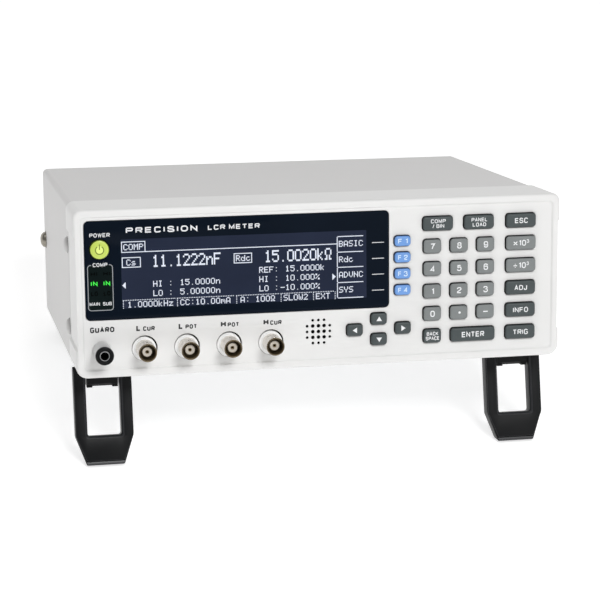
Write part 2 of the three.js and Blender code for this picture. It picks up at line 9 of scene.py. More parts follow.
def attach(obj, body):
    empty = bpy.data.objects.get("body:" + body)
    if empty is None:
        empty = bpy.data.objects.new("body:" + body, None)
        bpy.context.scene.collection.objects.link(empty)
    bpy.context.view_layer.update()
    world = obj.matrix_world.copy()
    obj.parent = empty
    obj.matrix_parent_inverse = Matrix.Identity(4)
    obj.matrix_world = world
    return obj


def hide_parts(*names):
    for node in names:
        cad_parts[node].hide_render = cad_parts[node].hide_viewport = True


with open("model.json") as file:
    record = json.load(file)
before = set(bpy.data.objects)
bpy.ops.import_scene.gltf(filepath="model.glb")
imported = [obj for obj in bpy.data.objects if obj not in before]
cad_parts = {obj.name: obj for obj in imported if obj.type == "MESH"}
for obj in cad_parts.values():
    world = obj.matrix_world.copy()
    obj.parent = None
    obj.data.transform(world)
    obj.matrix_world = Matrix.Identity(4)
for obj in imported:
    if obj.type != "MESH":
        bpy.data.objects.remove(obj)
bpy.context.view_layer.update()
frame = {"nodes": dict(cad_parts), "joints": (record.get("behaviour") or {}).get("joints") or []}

scene = bpy.context.scene
MM = 0.001

# The level meter: x to the right, y from the front face into the case, z up from the
# bezel's bottom edge, in mm. The part stands tipped back, so place() turns a level point
# into the row frame.
press = next(j for j in frame["joints"] if j["name"] == "key_5_press")
TILT = math.atan2(-press["axis"][2], press["axis"][1])
TURN = Matrix.Rotation(-TILT, 3, "X")
bezel_points = [TURN.inverted() @ v.co for v in frame["nodes"]["front_bezel"].data.vertices]
ORIGIN = Vector((
    (min(p.x for p in bezel_points) + max(p.x for p in bezel_points)) / 2,
    min(p.y for p in bezel_points),
    min(p.z for p in bezel_points),
))


def place(x, y, z):
    """From the level meter, in mm, to the standing part, in metres."""
    return TURN @ (Vector((x, y, z)) * MM + ORIGIN)


# ---------------------------------------------------------------- camera
CAMERA_AT = (-220.4, -1023.5, 224.0)
CAMERA_YAW = math.radians(11.50)
CAMERA_PITCH = math.radians(10.18)
CAMERA_ROLL = math.radians(-0.54)
CAMERA_LENS = 121.57

forward = Vector((
    math.sin(CAMERA_YAW) * math.cos(CAMERA_PITCH),
    math.cos(CAMERA_YAW) * math.cos(CAMERA_PITCH),
    -math.sin(CAMERA_PITCH),
))
level_right = Vector((math.cos(CAMERA_YAW), -math.sin(CAMERA_YAW), 0))
level_up = level_right.cross(forward)
right = level_right * math.cos(CAMERA_ROLL) + level_up * math.sin(CAMERA_ROLL)
up = level_up * math.cos(CAMERA_ROLL) - level_right * math.sin(CAMERA_ROLL)
axes = Matrix((TURN @ right, TURN @ up, TURN @ -forward)).transposed()
camera_data = bpy.data.cameras.new("camera")
camera_data.lens = CAMERA_LENS
camera_data.sensor_width = 36
camera_data.clip_end = 50
camera = bpy.data.objects.new("camera", camera_data)
camera.matrix_world = Matrix.Translation(place(*CAMERA_AT)) @ axes.to_4x4()
scene.collection.objects.link(camera)
bpy.context.scene.camera = camera


# ---------------------------------------------------------------- materials
def material(name, colour, rough, metal=0.0, vary=0.06, grain=900.0, bump=0.0, gloss=0.5,
             glow=0.0):
    """Procedural finish: colour and roughness drift with noise, with an optional fine bump."""
    mat = bpy.data.materials.new(name)
    mat.use_nodes = True
    nodes = mat.node_tree.nodes
    links = mat.node_tree.links
    shader = nodes["Principled BSDF"]
    shader.inputs["Metallic"].default_value = metal
    shader.inputs["Specular IOR Level"].default_value = gloss
    coords = nodes.new("ShaderNodeTexCoord")
    noise = nodes.new("ShaderNodeTexNoise")
    noise.inputs["Scale"].default_value = 35.0
    noise.inputs["Detail"].default_value = 4.0
    links.new(coords.outputs["Object"], noise.inputs["Vector"])
    ramp = nodes.new("ShaderNodeValToRGB")
    low = tuple(c * (1 - vary) for c in colour)
    high = tuple(min(1.0, c * (1 + vary)) for c in colour)
    ramp.color_ramp.elements[0].position = 0.3
    ramp.color_ramp.elements[1].position = 0.7
    ramp.color_ramp.elements[0].color = (*low, 1)
    ramp.color_ramp.elements[1].color = (*high, 1)
    links.new(noise.outputs["Fac"], ramp.inputs["Fac"])
    links.new(ramp.outputs["Color"], shader.inputs["Base Color"])
    spread = nodes.new("ShaderNodeMapRange")
    spread.inputs["To Min"].default_value = max(0.02, rough - 0.05)
    spread.inputs["To Max"].default_value = min(1.0, rough + 0.05)
    links.new(noise.outputs["Fac"], spread.inputs["Value"])
    links.new(spread.outputs["Result"], shader.inputs["Roughness"])
    if bump:
        fine = nodes.new("ShaderNodeTexNoise")
        fine.inputs["Scale"].default_value = grain
        links.new(coords.outputs["Object"], fine.inputs["Vector"])
        relief = nodes.new("ShaderNodeBump")
        relief.inputs["Strength"].default_value = bump
        relief.inputs["Distance"].default_value = 0.0002
        links.new(fine.outputs["Fac"], relief.inputs["Height"])
        links.new(relief.outputs["Normal"], shader.inputs["Normal"])
    if glow:
        links.new(ramp.outputs["Color"], shader.inputs["Emission Color"])
        shader.inputs["Emission Strength"].default_value = glow
    return mat


BEZEL = material("bezel_white", (0.76, 0.758, 0.75), 0.42, vary=0.012, bump=0.1, grain=1800)
COVER = material("cover_grey", (0.64, 0.632, 0.626), 0.45, vary=0.015, bump=0.12, grain=1500)
STEEL = material("plated_steel", (0.55, 0.56, 0.57), 0.35, metal=0.9, vary=0.08)
WINDOW = material("window_dark", (0.0038, 0.0072, 0.0138), 0.12, vary=0.1, gloss=0.045)
SCREEN = material("screen_blue", (0.0192, 0.0252, 0.0470), 0.14, vary=0.1, gloss=0.045)
PRINT = material("print_white", (0.76, 0.77, 0.79), 0.4, vary=0.02)
DOTS = material("lcd_dots", (0.62, 0.66, 0.75), 0.4, vary=0.03, glow=0.18)
FRAME_LINE = material("print_grey", (0.30, 0.32, 0.34), 0.4, vary=0.03)
LAMP_OFF = material("lamp_off", (0.0006, 0.0010, 0.0010), 0.4, vary=0.1, gloss=0.02)
LAMP_FIELD = material("lamp_field", (0.0048, 0.0090, 0.0092), 0.2, vary=0.1, gloss=0.04)
LAMP_GREEN = material("lamp_green", (0.03, 0.55, 0.04), 0.3, vary=0.15, glow=0.6)
POWER = material("power_lit", (0.49, 0.61, 0.10), 0.35, vary=0.06, glow=0.1)
POWER_CORE = material("power_core", (0.66, 0.76, 0.20), 0.35, vary=0.06, glow=0.18)
POWER_EDGE = material("power_edge", (0.16, 0.22, 0.03), 0.45, vary=0.1)
POWER_MARK = material("power_mark", (0.16, 0.22, 0.02), 0.4, vary=0.1)
PANEL_INK = material("panel_ink", (0.012, 0.014, 0.016), 0.5, vary=0.1)
NUMBER_KEY = material("number_key", (0.195, 0.21, 0.21), 0.42, vary=0.05, bump=0.1, grain=2500)
DARK_KEY = material("dark_key", (0.048, 0.061, 0.063), 0.42, vary=0.06, bump=0.1, grain=2500)
SOFT_KEY = material("soft_key", (0.15, 0.33, 0.72), 0.38, vary=0.05, bump=0.08, grain=2500)
# Key skirts: partly the keys' darker bodies, partly painted shade of the narrow gap round each key
KEY_SKIRT_BODY_AND_SHADE = material("key_skirt", (0.010, 0.011, 0.012), 0.6, vary=0.1, gloss=0.2)
SOFT_SKIRT_BODY_AND_SHADE = material("soft_skirt_body_and_painted_shade", (0.02, 0.04, 0.12), 0.6, vary=0.1, gloss=0.2)
KEY_INK = material("key_ink", (0.80, 0.81, 0.82), 0.45, vary=0.02)
SOFT_INK = material("soft_ink", (0.66, 0.79, 0.93), 0.45, vary=0.02)
NICKEL = material("nickel", (0.78, 0.74, 0.69), 0.27, metal=1.0, vary=0.05)
SCREW = material("screw_nickel", (0.30, 0.28, 0.24), 0.3, metal=0.9, vary=0.1)
# Bore and front lip of the jacks: darker brown nickel, painted shade inside the barrel
MOUTH_SHADE = material("mouth_painted_shade", (0.12, 0.09, 0.048), 0.4, metal=0.6, vary=0.25)
IVORY = material("ivory", (0.62, 0.57, 0.49), 0.45, vary=0.06)
CONTACT = material("contact_gold", (0.30, 0.22, 0.12), 0.35, metal=1.0, vary=0.06)
BUSH = material("bush_white", (0.88, 0.88, 0.87), 0.38, vary=0.012)
SLEEVE = material("sleeve_grey", (0.56, 0.56, 0.56), 0.35, metal=0.2, vary=0.04)
BLACK = material("black_plastic", (0.005, 0.0055, 0.006), 0.36, vary=0.12, gloss=0.15)
LEG = material("leg_black", (0.0058, 0.0062, 0.0070), 0.36, vary=0.10, bump=0.12, grain=1400,
               gloss=0.18)
# Lighter black for the leg's bevels, toe strip and slot rim: painted highlight on those edges
LEG_EDGE_HIGHLIGHT = material("leg_edge_painted_highlight", (0.020, 0.021, 0.024), 0.36, vary=0.10, gloss=0.35)
RUBBER = material("foot_rubber", (0.02, 0.02, 0.02), 0.8, vary=0.15, bump=0.2, grain=900)
GREEN_BOARD = material("board_green", (0.015, 0.10, 0.04), 0.4, vary=0.15)
MAT = material("mat_rubber", (0.35, 0.35, 0.34), 0.8, vary=0.05)
# Near black for holes, gaps and grooves: painted shade where the real part only lies in shade
SHADE_BLACK = material("painted_shade_black", (0.003, 0.003, 0.003), 0.9, vary=0.1, gloss=0.05)


# ---------------------------------------------------------------- mesh helpers
def build(name, points, faces, mats, body, replaces=(), indices=None, sharp=32.0):
    """A piece of the meter, from points in the level meter. indices picks each face's material
    and sharp is the angle, in degrees, above which an edge stays sharp."""
    mesh = bpy.data.meshes.new(name)
    mesh.from_pydata([place(*p) for p in points], [], faces)
    for mat in mats:
        mesh.materials.append(mat)
    if indices:
        for polygon, index in zip(mesh.polygons, indices):
            polygon.material_index = index
    work = bmesh.new()
    work.from_mesh(mesh)
    bmesh.ops.recalc_face_normals(work, faces=work.faces[:])
    work.to_mesh(mesh)
    work.free()
    mesh.polygons.foreach_set("use_smooth", [True] * len(mesh.polygons))
    mesh.set_sharp_from_angle(angle=math.radians(sharp))
    obj = bpy.data.objects.new(name, mesh)
    scene.collection.objects.link(obj)
    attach(obj, body)
    if replaces:
        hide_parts(*replaces)
    return obj


def rounded(left, right, bottom, top, radius, steps=5, top_radius=None):
    """Rounded rectangle outline in x and z, counter-clockwise from the bottom right."""
    upper = radius if top_radius is None else top_radius
    corners = (
        (right - radius, bottom + radius, radius, -90),
        (right - upper, top - upper, upper, 0),
        (left + upper, top - upper, upper, 90),
        (left + radius, bottom + radius, radius, 180),
    )
    points = []
    for x, z, r, start in corners:
        for i in range(steps + 1):
            angle = math.radians(start + 90 * i / steps)
            points.append((x + r * math.cos(angle), z + r * math.sin(angle)))
    return points


def ring(x, z, radius, sides=40):
    """Circle in x and z, as a polygon."""
    turn = [2 * math.pi * i / sides for i in range(sides)]
    return [(x + radius * math.cos(a), z + radius * math.sin(a)) for a in turn]


def loft(sections, loop=False):
    """Points and faces through closed outlines, each [y, outline]. The ends are closed, or
    joined to each other if loop is set."""
    count = len(sections[0][1])
    points = [(x, y, z) for y, outline in sections for x, z in outline]
    faces = []
    spans = len(sections) if loop else len(sections) - 1
    for s in range(spans):
        a, b = s * count, ((s + 1) % len(sections)) * count
        for i in range(count):
            j = (i + 1) % count
            faces.append((a + i, b + i, b + j, a + j))
    if not loop:
        last = (len(sections) - 1) * count
        faces.append(tuple(range(count)))
        faces.append(tuple(last + i for i in reversed(range(count))))
    return points, faces


def turned(x, z, profile, sides=40):
    """Solid of revolution about a line along y, from [radius, y] points on a closed path
    that starts and ends on the axis."""
    points, rings = [], []
    for radius, y in profile:
        start = len(points)
        if radius == 0:
            points.append((x, y, z))
            rings.append([start] * sides)
        else:
            points += [(px, y, pz) for px, pz in ring(x, z, radius, sides)]
            rings.append(list(range(start, start + sides)))
    faces = []
    for low, high in zip(rings, rings[1:]):
        for i in range(sides):
            j = (i + 1) % sides
            face = []
            for v in (low[i], high[i], high[j], low[j]):
                if v not in face:
                    face.append(v)
            if len(face) > 2:
                faces.append(tuple(face))
    return points, faces


def face_centre(points, face):
    return sum((Vector(points[v]) for v in face), Vector()) / len(face)


def curve_mesh(data):
    """Mesh of a curve or text, as (points, faces) in the curve's own plane."""
    obj = bpy.data.objects.new("scratch", data)
    scene.collection.objects.link(obj)
    bpy.context.view_layer.update()
    mesh = bpy.data.meshes.new_from_object(obj)
    points = [v.co.copy() for v in mesh.vertices]
    faces = [tuple(p.vertices) for p in mesh.polygons]
    bpy.data.objects.remove(obj)
    bpy.data.meshes.remove(mesh)
    bpy.data.curves.remove(data)
    return points, faces


def weld(points, faces, limit=1e-4):
    """Joins points that coincide, so that a converted curve is one closed surface."""
    work = bmesh.new()
    verts = [work.verts.new(p) for p in points]
    for face in faces:
        try:
            work.faces.new([verts[i] for i in face])
        except ValueError:
            pass
    bmesh.ops.remove_doubles(work, verts=work.verts[:], dist=limit)
    work.verts.index_update()
    result = [tuple(v.co) for v in work.verts], [tuple(v.index for v in f.verts) for f in work.faces]
    work.free()
    return result


def plate(outlines, front, back, edge=0.2):
    """Flat plate with holes: outlines are closed x, z loops, the first one outside."""
    data = bpy.data.curves.new("plate", "CURVE")
    data.dimensions = "2D"
    data.fill_mode = "BOTH"
    data.extrude = (back - front) / 2 - edge
    data.bevel_depth = edge
    data.bevel_resolution = 2
    data.offset = -edge
    for outline in outlines:
        spline = data.splines.new("POLY")
        spline.points.add(len(outline) - 1)
        for point, (x, z) in zip(spline.points, outline):
            point.co = (x, z, 0, 1)
        spline.use_cyclic_u = True
    points, faces = curve_mesh(data)
    middle = (front + back) / 2
    return weld([(p.x, middle - p.z, p.y) for p in points], faces)


# Centrelines of the lettering on a grid 4 wide and 6 high. Strokes after "~" are curves, those
# after "@" closed curves.
LETTERS = {
    "A": "0,0 2,6 4,0|.7,1.9 3.3,1.9",
    "B": "0,6 0,0|~0,6 2.7,6 3.9,6 3.9,3.1 2.6,3.1 0,3.1|~0,3.1 2.8,3.1 4.2,3.1 4.2,0 2.8,0 0,0",
    "C": "~3.9,4.9 3.5,6.2 .1,6.3 0,3 .1,-.3 3.5,-.2 3.9,1.1",
    "D": "0,6 0,0|~0,6 1.6,6 3.2,6 4.2,4.8 4.2,1.2 3.2,0 1.6,0 0,0",
    "E": "3.8,6 0,6 0,0 3.8,0|0,3.1 3.5,3.1",
    "F": "3.7,6 0,6 0,0|0,3.1 3.3,3.1",
    "G": "~3.9,5 3.5,6.2 .1,6.3 0,3 .1,-.3 3.4,-.3 4,1|2.4,2.6 4,2.6 4,0",
    "H": "0,0 0,6|4,0 4,6|0,3.1 4,3.1",
    "I": "0,0 0,6",
    "J": "~3.2,6 3.2,4 3.2,2 3.1,-.2 .1,-.3 0,1.9",
    "K": "0,0 0,6|3.9,6 0,2.2|1.2,3.4 4.1,0",
    "L": "0,6 0,0 3.5,0",
    "M": "0,0 0,6 2.3,.6 4.6,6 4.6,0",
    "N": "0,0 0,6 4,0 4,6",
    "O": "@0,1.2 0,4.8 1,6.2 3.2,6.2 4.2,4.8 4.2,1.2 3.2,-.2 1,-.2",
    "P": "0,6 0,0|~0,6 2.6,6 4.1,6 4.1,2.8 2.6,2.8 0,2.8",
    "R": "0,6 0,0|~0,6 2.6,6 4.1,6 4.1,2.9 2.6,2.9 0,2.9|2.2,2.9 4,0",
    "S": "~3.9,4.5 3.6,6.2 .2,6.3 0,3.6 2,3.1 4.1,2.5 4.2,-.2 .3,-.3 0,1.6",
    "T": "0,6 4,6|2,6 2,0",
    "U": "~0,6 0,4 0,2.6 0,-.1 2,-.1 4,-.1 4,2.6 4,4 4,6",
    "W": "0,6 1.3,0 2.7,5.6 4.1,0 5.4,6",
    "0": "@0,1.2 0,4.8 .8,6.2 3.0,6.2 3.8,4.8 3.8,1.2 3.0,-.2 .8,-.2",
    "1": ".5,4.9 1.9,5.9 1.9,0",
    "2": "~0,4.4 .1,6.1 3.8,6.3 4.1,3.9 1.8,2.5 0,1.1 0,0|0,0 3.9,0",
    "3": "~0,4.6 .3,6.2 3.7,6.2 3.9,3.4 1.6,3.2|~1.6,3.2 4.2,3.2 4.3,-.2 .2,-.3 0,1.5",
    "4": "3,0 3,6 0,1.6 4,1.6",
    "5": "3.6,6 .6,6 .3,3|~.3,3 1.4,4 4.1,4.1 4.2,-.2 .3,-.3 0,1.4",
    "6": "@0,1.2 .2,3.5 2,3.8 3.8,3.5 4,1.2 3.4,-.2 .6,-.2|~0,1.6 -.1,6.3 3.4,6.4 3.8,4.6",
    "7": "0,6 3.9,6 2.2,3 1.4,0",
    "8": "@.3,4 .3,5.6 1.2,6.2 2.8,6.2 3.7,5.6 3.7,4 2.8,3.1 1.2,3.1|"
         "@0,1 .2,2.7 1.2,3.3 2.8,3.3 3.8,2.7 4,1 3.2,-.2 .8,-.2",
    "9": "@4,4.8 3.8,2.5 2,2.2 .2,2.5 0,4.8 .6,6.2 3.4,6.2|~4,4.4 4.1,-.3 .6,-.4 .2,1.4",
    "/": "0,-.4 2.2,6.4", "×": "0,.5 4.2,4.7|0,4.7 4.2,.5", "−": "0,3 4.2,3",
    "÷": "0,2.6 4.2,2.6|2.1,4.2 2.1,5.1|2.1,.1 2.1,1",
    "·": "@1.2,2.3 2.7,2.3 2.7,3.8 1.2,3.8",
}


def round_off(line, closed):
    """Corner cutting, three times over."""
    for _ in range(3):
        cut = []
        last = len(line) if closed else len(line) - 1
        for i in range(last):
            (ax, az), (bx, bz) = line[i], line[(i + 1) % len(line)]
            cut += [(0.75 * ax + 0.25 * bx, 0.75 * az + 0.25 * bz),
                    (0.25 * ax + 0.75 * bx, 0.25 * az + 0.75 * bz)]
        if not closed:
            cut[0], cut[-1] = line[0], line[-1]
        line = cut
    return line


def ribbon(line, closed, half, y):
    """Raised stroke of even width along a line in x and z."""
    count = len(line)
    sides = []
    for i, (x, z) in enumerate(line):
        ahead = line[(i + 1) % count] if closed or i < count - 1 else None
        behind = line[i - 1] if closed or i else None
        normals = []
        for a, b in ((behind, (x, z)), ((x, z), ahead)):
            if a is not None and b is not None:
                run = Vector((b[0] - a[0], b[1] - a[1])).normalized()
                normals.append(Vector((-run.y, run.x)))
        mean = sum(normals, Vector((0, 0)))
        mean = mean.normalized() if mean.length > 0.1 else normals[0]
        reach = half / max(0.42, mean.dot(normals[0]))
        sides.append(((x + mean.x * reach, z + mean.y * reach),
                      (x - mean.x * reach, z - mean.y * reach)))
    points = []
    for a, b in sides:
        points += [(a[0], y, a[1]), (b[0], y, b[1]), (b[0], y + 0.06, b[1]), (a[0], y + 0.06, a[1])]
    faces = []
    for i in range(count if closed else count - 1):
        a, b = 4 * i, 4 * ((i + 1) % count)
        for k in range(4):
            m = (k + 1) % 4
            faces.append((a + k, b + k, b + m, a + m))
    if not closed:
        faces += [(0, 1, 2, 3), tuple(4 * (count - 1) + k for k in (3, 2, 1, 0))]
    return points, faces


def lettering(text, x, z, cap, y, width=None, weight=0.5, align="CENTER"):
    """Raised printing as (points, faces). cap is the height of a capital and weight the width
    of a stroke, in mm; x is the middle of the line, or its start if align is LEFT."""
    unit = (cap - weight) / 6
    strokes, cursor = [], 0.0
    for letter in text:
        if letter == " ":
            cursor += 2.4
            continue
        high = 0.0
        for stroke in LETTERS[letter].split("|"):
            mode = stroke[0] if stroke[0] in "~@" else ""
            line = [tuple(map(float, pair.split(","))) for pair in stroke.lstrip("~@").split()]
            if mode:
                line = round_off(line, mode == "@")
            high = max([high] + [a for a, b in line])
            strokes.append(([(a + cursor, b) for a, b in line], mode == "@"))
        cursor += high + 0.9 + weight / unit
    total = cursor - 0.9 - weight / unit
    stretch = (width - weight) / (total * unit) if width and total else 1.0
    start = x if align == "LEFT" else x - total * unit * stretch / 2
    parts = []
    for line, closed in strokes:
        placed = [(start + a * unit * stretch, z + (b - 3) * unit) for a, b in line]
        parts.append(ribbon(placed, closed, weight / 2, y))
    return merge(parts)


def merge(parts):
    """Several (points, faces) as one."""
    points, faces = [], []
    for more_points, more_faces in parts:
        start = len(points)
        points += more_points
        faces += [tuple(start + i for i in face) for face in more_faces]
    return points, faces


def slab(left, right, bottom, top, front, back):
    """Box as (points, faces)."""
    return loft([[front, [(right, bottom), (right, top), (left, top), (left, bottom)]],
                 [back, [(right, bottom), (right, top), (left, top), (left, bottom)]]])


# ---------------------------------------------------------------- layout, in mm
WIDTH, HEIGHT, BEZEL_DEPTH = 260.0, 88.0, 37.0
PANEL = 0.8
KEY_FRONT = -1.2
NUMBER_X, NUMBER_PITCH = 59.35, 14.6
KEY_HEIGHT, SMALL_KEY, WIDE_KEY = 7.3, 9.6, 16.4
ENTER_KEY = 24.4
KEY_CORNER = 1.7
KEY_FLANGE = 0.8
ROW_Z, ROW_PITCH = 13.9, 12.06
RIGHT_X = 108.1
COMP_BIN_X, PANEL_LOAD_X, ENTER_X = 62.4, 84.9, 81.7
SOFT_X, SOFT_Z, SOFT_PITCH = 43.1, 39.5, 8.7
SOFT_WIDTH, SOFT_HEIGHT = 8.7, 5.4
ARROW_X, ARROW_Z = 30.2, 19
ARROW_REACH, ARROW_RISE = 13.1, 5.5
ARROW_WIDTH, ARROW_HEIGHT = 8.6, 6.2
TOP_ROW = ROW_Z + 5 * ROW_PITCH
TERMINAL_Z = 14.6
BNC_X, BNC_PITCH = -94.3, 22.2
GUARD_X = -116.7
GRILLE_X, GRILLE_Z, GRILLE_PITCH = -2.2, 19.0, 3.05
POWER_X, POWER_Z, POWER_R = -116.5, 67.2, 4.9
GLASS = (-124.2, 35.9, 30.4, 81.8)
LCD = (-105.5, 23.8, 36.0, 72.0)

SIDES = ((-1, "left"), (1, "right"))

# name, x, z, width, height, kind and the lines of legend as text, rise, capital and width
keys = []


def key(name, x, z, width, height, kind, lines):
    keys.append((f"key_{name}", x, z, width, height, kind, lines))


names = (("0", "point", "minus"), ("1", "2", "3"), ("4", "5", "6"), ("7", "8", "9"))
marks = {"point": "·", "minus": "−"}
for r, row in enumerate(names):
    for c, label in enumerate(row):
        width = {"1": 1.5, "point": 0, "minus": 3.1}.get(label, 2.5)
        key(label, NUMBER_X + c * NUMBER_PITCH, ROW_Z + (r + 1) * ROW_PITCH, SMALL_KEY,
            KEY_HEIGHT, "number",
            [(marks.get(label, label), 0, 3.2, width)])
right_column = (
    ("trig", "dark", [("TRIG", 0, 2.7, 8.4)]), ("info", "dark", [("INFO", 0, 2.7, 8.4)]),
    ("adj", "dark", [("ADJ", 0, 2.7, 7.0)]),
    ("divide_1000", "number", [("÷10", 0, 3.0, 7.1), ("3", 0.9, 1.8, 1.3)]),
    ("times_1000", "number", [("×10", 0, 3.0, 7.1), ("3", 0.9, 1.8, 1.3)]),
    ("esc", "dark", [("ESC", 0, 2.7, 7.2)]),
)
for r, (label, kind, lines) in enumerate(right_column):
    key(label, RIGHT_X, ROW_Z + r * ROW_PITCH, WIDE_KEY, KEY_HEIGHT, kind, lines)
key("comp_bin", COMP_BIN_X, TOP_ROW, WIDE_KEY, KEY_HEIGHT, "dark",
    [("COMP", 1.3, 2.0, 8.1), ("/ BIN", -1.3, 2.0, 6.4)])
key("panel_load", PANEL_LOAD_X, TOP_ROW, WIDE_KEY, KEY_HEIGHT, "dark",
    [("PANEL", 1.3, 2.0, 8.7), ("LOAD", -1.3, 2.0, 7.4)])
key("back_space", NUMBER_X, ROW_Z, SMALL_KEY, KEY_HEIGHT, "dark",
    [("BACK", 1.3, 1.9, 6.4), ("SPACE", -1.2, 1.9, 7.5)])
key("enter", ENTER_X, ROW_Z, ENTER_KEY, KEY_HEIGHT, "dark", [("ENTER", 0, 2.9, 12.4)])
for i in range(4):
    key(f"f{i + 1}", SOFT_X, SOFT_Z + (3 - i) * SOFT_PITCH, SOFT_WIDTH, SOFT_HEIGHT, "soft",
        [(f"F {i + 1}", 0, 2.6, 5.2)])
# Offset from the middle of the cluster, and the way the arrow points in degrees
ARROWS = {
    "left": (-ARROW_REACH, 0, 180),
    "right": (ARROW_REACH, 0, 0),
    "up": (0, ARROW_RISE, 90),
    "down": (0, -ARROW_RISE, 270),
}
for label, (dx, dz, turn) in ARROWS.items():
    key(label, ARROW_X + dx, ARROW_Z + dz, ARROW_WIDTH, ARROW_HEIGHT, "dark", [])

# Face and skirt materials, and slot, of each kind of key. The skirt is painted near black: partly the
# key's darker body, partly painted shade of the narrow gap round the key
KINDS = {
    "number": (NUMBER_KEY, KEY_SKIRT_BODY_AND_SHADE, "number_key"),
    "dark": (DARK_KEY, KEY_SKIRT_BODY_AND_SHADE, "dark_key"),
    "soft": (SOFT_KEY, SOFT_SKIRT_BODY_AND_SHADE, "soft_key"),
}


# ---------------------------------------------------------------- front bezel
def bezel_outline(inset, grip):
    """Outline of the bezel, stepped in along the finger grips on both sides."""
    low, high = max(6.0 - inset, 2.2), max(4.5 - inset, 1.9)
    points = rounded(-WIDTH / 2 + inset, WIDTH / 2 - inset, inset, HEIGHT - inset, low, 6, high)
    side = WIDTH / 2 - max(inset, grip)
    rail = WIDTH / 2 - inset
    right_grip = [(rail, 14.5), (side, 15.3), (side, 72.7), (rail, 73.5)]
    left_grip = [(-x, z) for x, z in reversed(right_grip)]
    return points[:7] + right_grip + points[7:21] + left_grip + points[21:]


# Section of the frame as [inset, y]: outside, over the raised rim, down to the panel and back
GRIP = 1.1
PANEL_INSET = 4.6
frame_section = [(0, BEZEL_DEPTH), (0, 1.7), (0.13, 1.05), (0.5, 0.5), (1.05, 0.13), (1.7, 0)]
frame_section += [(3.5, 0), (3.85, 0.07), (4.1, 0.3), (4.3, 0.6), (4.55, 0.75), (4.9, 0.8)]
frame_section += [(4.9, 3.6), (2.6, 3.6), (2.6, BEZEL_DEPTH)]
sections = [[y, bezel_outline(inset, GRIP)] for inset, y in frame_section]
points, faces = loft(sections, loop=True)
build("bezel_frame", points, faces, [BEZEL], "case", ["front_bezel"], sharp=40)

KEY_MARGIN = 0.32
holes = [rounded(-WIDTH / 2 + PANEL_INSET, WIDTH / 2 - PANEL_INSET, PANEL_INSET,
                 HEIGHT - PANEL_INSET, 2.2, 5, 1.9)]
for name, x, z, width, height, kind, lines in keys:
    w, h = width / 2 + KEY_MARGIN, height / 2 + KEY_MARGIN
    holes.append(rounded(x - w, x + w, z - h, z + h, 1.9))
holes.append(rounded(GLASS[0] - 0.25, GLASS[1] + 0.25, GLASS[2] - 0.25, GLASS[3] + 0.25, 2.6))
for i in range(4):
    holes.append(ring(BNC_X + i * BNC_PITCH, TERMINAL_Z, 6.75, 48))
holes.append(ring(GUARD_X, TERMINAL_Z, 4.0, 32))
for column in range(-2, 3):
    for row in range(-2, 3):
        if abs(column) + abs(row) < 4:
            size = 0.98 if abs(column) < 2 and abs(row) < 2 else 0.74
            holes.append(ring(GRILLE_X + column * GRILLE_PITCH, GRILLE_Z + row * GRILLE_PITCH,
                              size, 20))
points, faces = plate(holes, PANEL, 3.2, 0.22)
build("bezel_panel", points, faces, [BEZEL], "case", ["front_bezel"])
# A near-black disc just behind the grille: painted shade inside the holes
points, faces = turned(GRILLE_X, GRILLE_Z, [(0, 1.3), (8.4, 1.3), (8.4, 1.6), (0, 1.6)], 24)
build("grille_shade_disc", points, faces, [SHADE_BLACK], "case")
# Floor of the window pocket, with openings for the screen and the power button
points, faces = plate([
    rounded(GLASS[0] - 1.5, GLASS[1] + 1.5, GLASS[2] - 1.5, GLASS[3] + 1.5, 3),
    rounded(LCD[0] - 1, LCD[1] + 1, LCD[2] - 1, LCD[3] + 1, 1),
    ring(POWER_X, POWER_Z, POWER_R + 0.6, 32),
], 3.3, 3.8, 0.1)
build("window_ledge", points, faces, [BEZEL], "case", ["front_bezel"])


# ---------------------------------------------------------------- keys and their legends
def arrow_head(x, z, turn, y):
    """Solid triangle that points turn degrees from x towards z."""
    size = 1.5
    corners = [(size * 0.9, 0), (-size * 0.7, size), (-size * 0.7, -size)]
    angle = math.radians(turn)
    flat = [(x + a * math.cos(angle) - b * math.sin(angle),
             z + a * math.sin(angle) + b * math.cos(angle)) for a, b in corners]
    return loft([[y, flat], [y + 0.06, flat]])


def key_section(x, z, width, height, inset, y):
    w, h = width / 2 - inset, height / 2 - inset
    return [y, rounded(x - w, x + w, z - h, z + h, max(0.4, KEY_CORNER - inset))]


# Key section as [inset, y]: the hidden flange, the skirt painted near black (the key's darker body and
# painted shade of the gap round it), then the rounded face
KEY_PROFILE = [(-KEY_FLANGE, 5.0), (-KEY_FLANGE, 3.9), (0, 3.9), (0, -0.5), (0.03, -0.68),
               (0.1, -0.8), (0.42, -1.08), (0.56, -1.16), (0.75, KEY_FRONT)]
SKIRT_BANDS = 4
INK_THICKNESS = 0.03
# Stroke width for each height of capital
STROKES = {3.2: 0.58, 3.0: 0.52, 2.9: 0.55, 2.7: 0.5, 2.6: 0.46}
SMALL_STROKE = 0.37

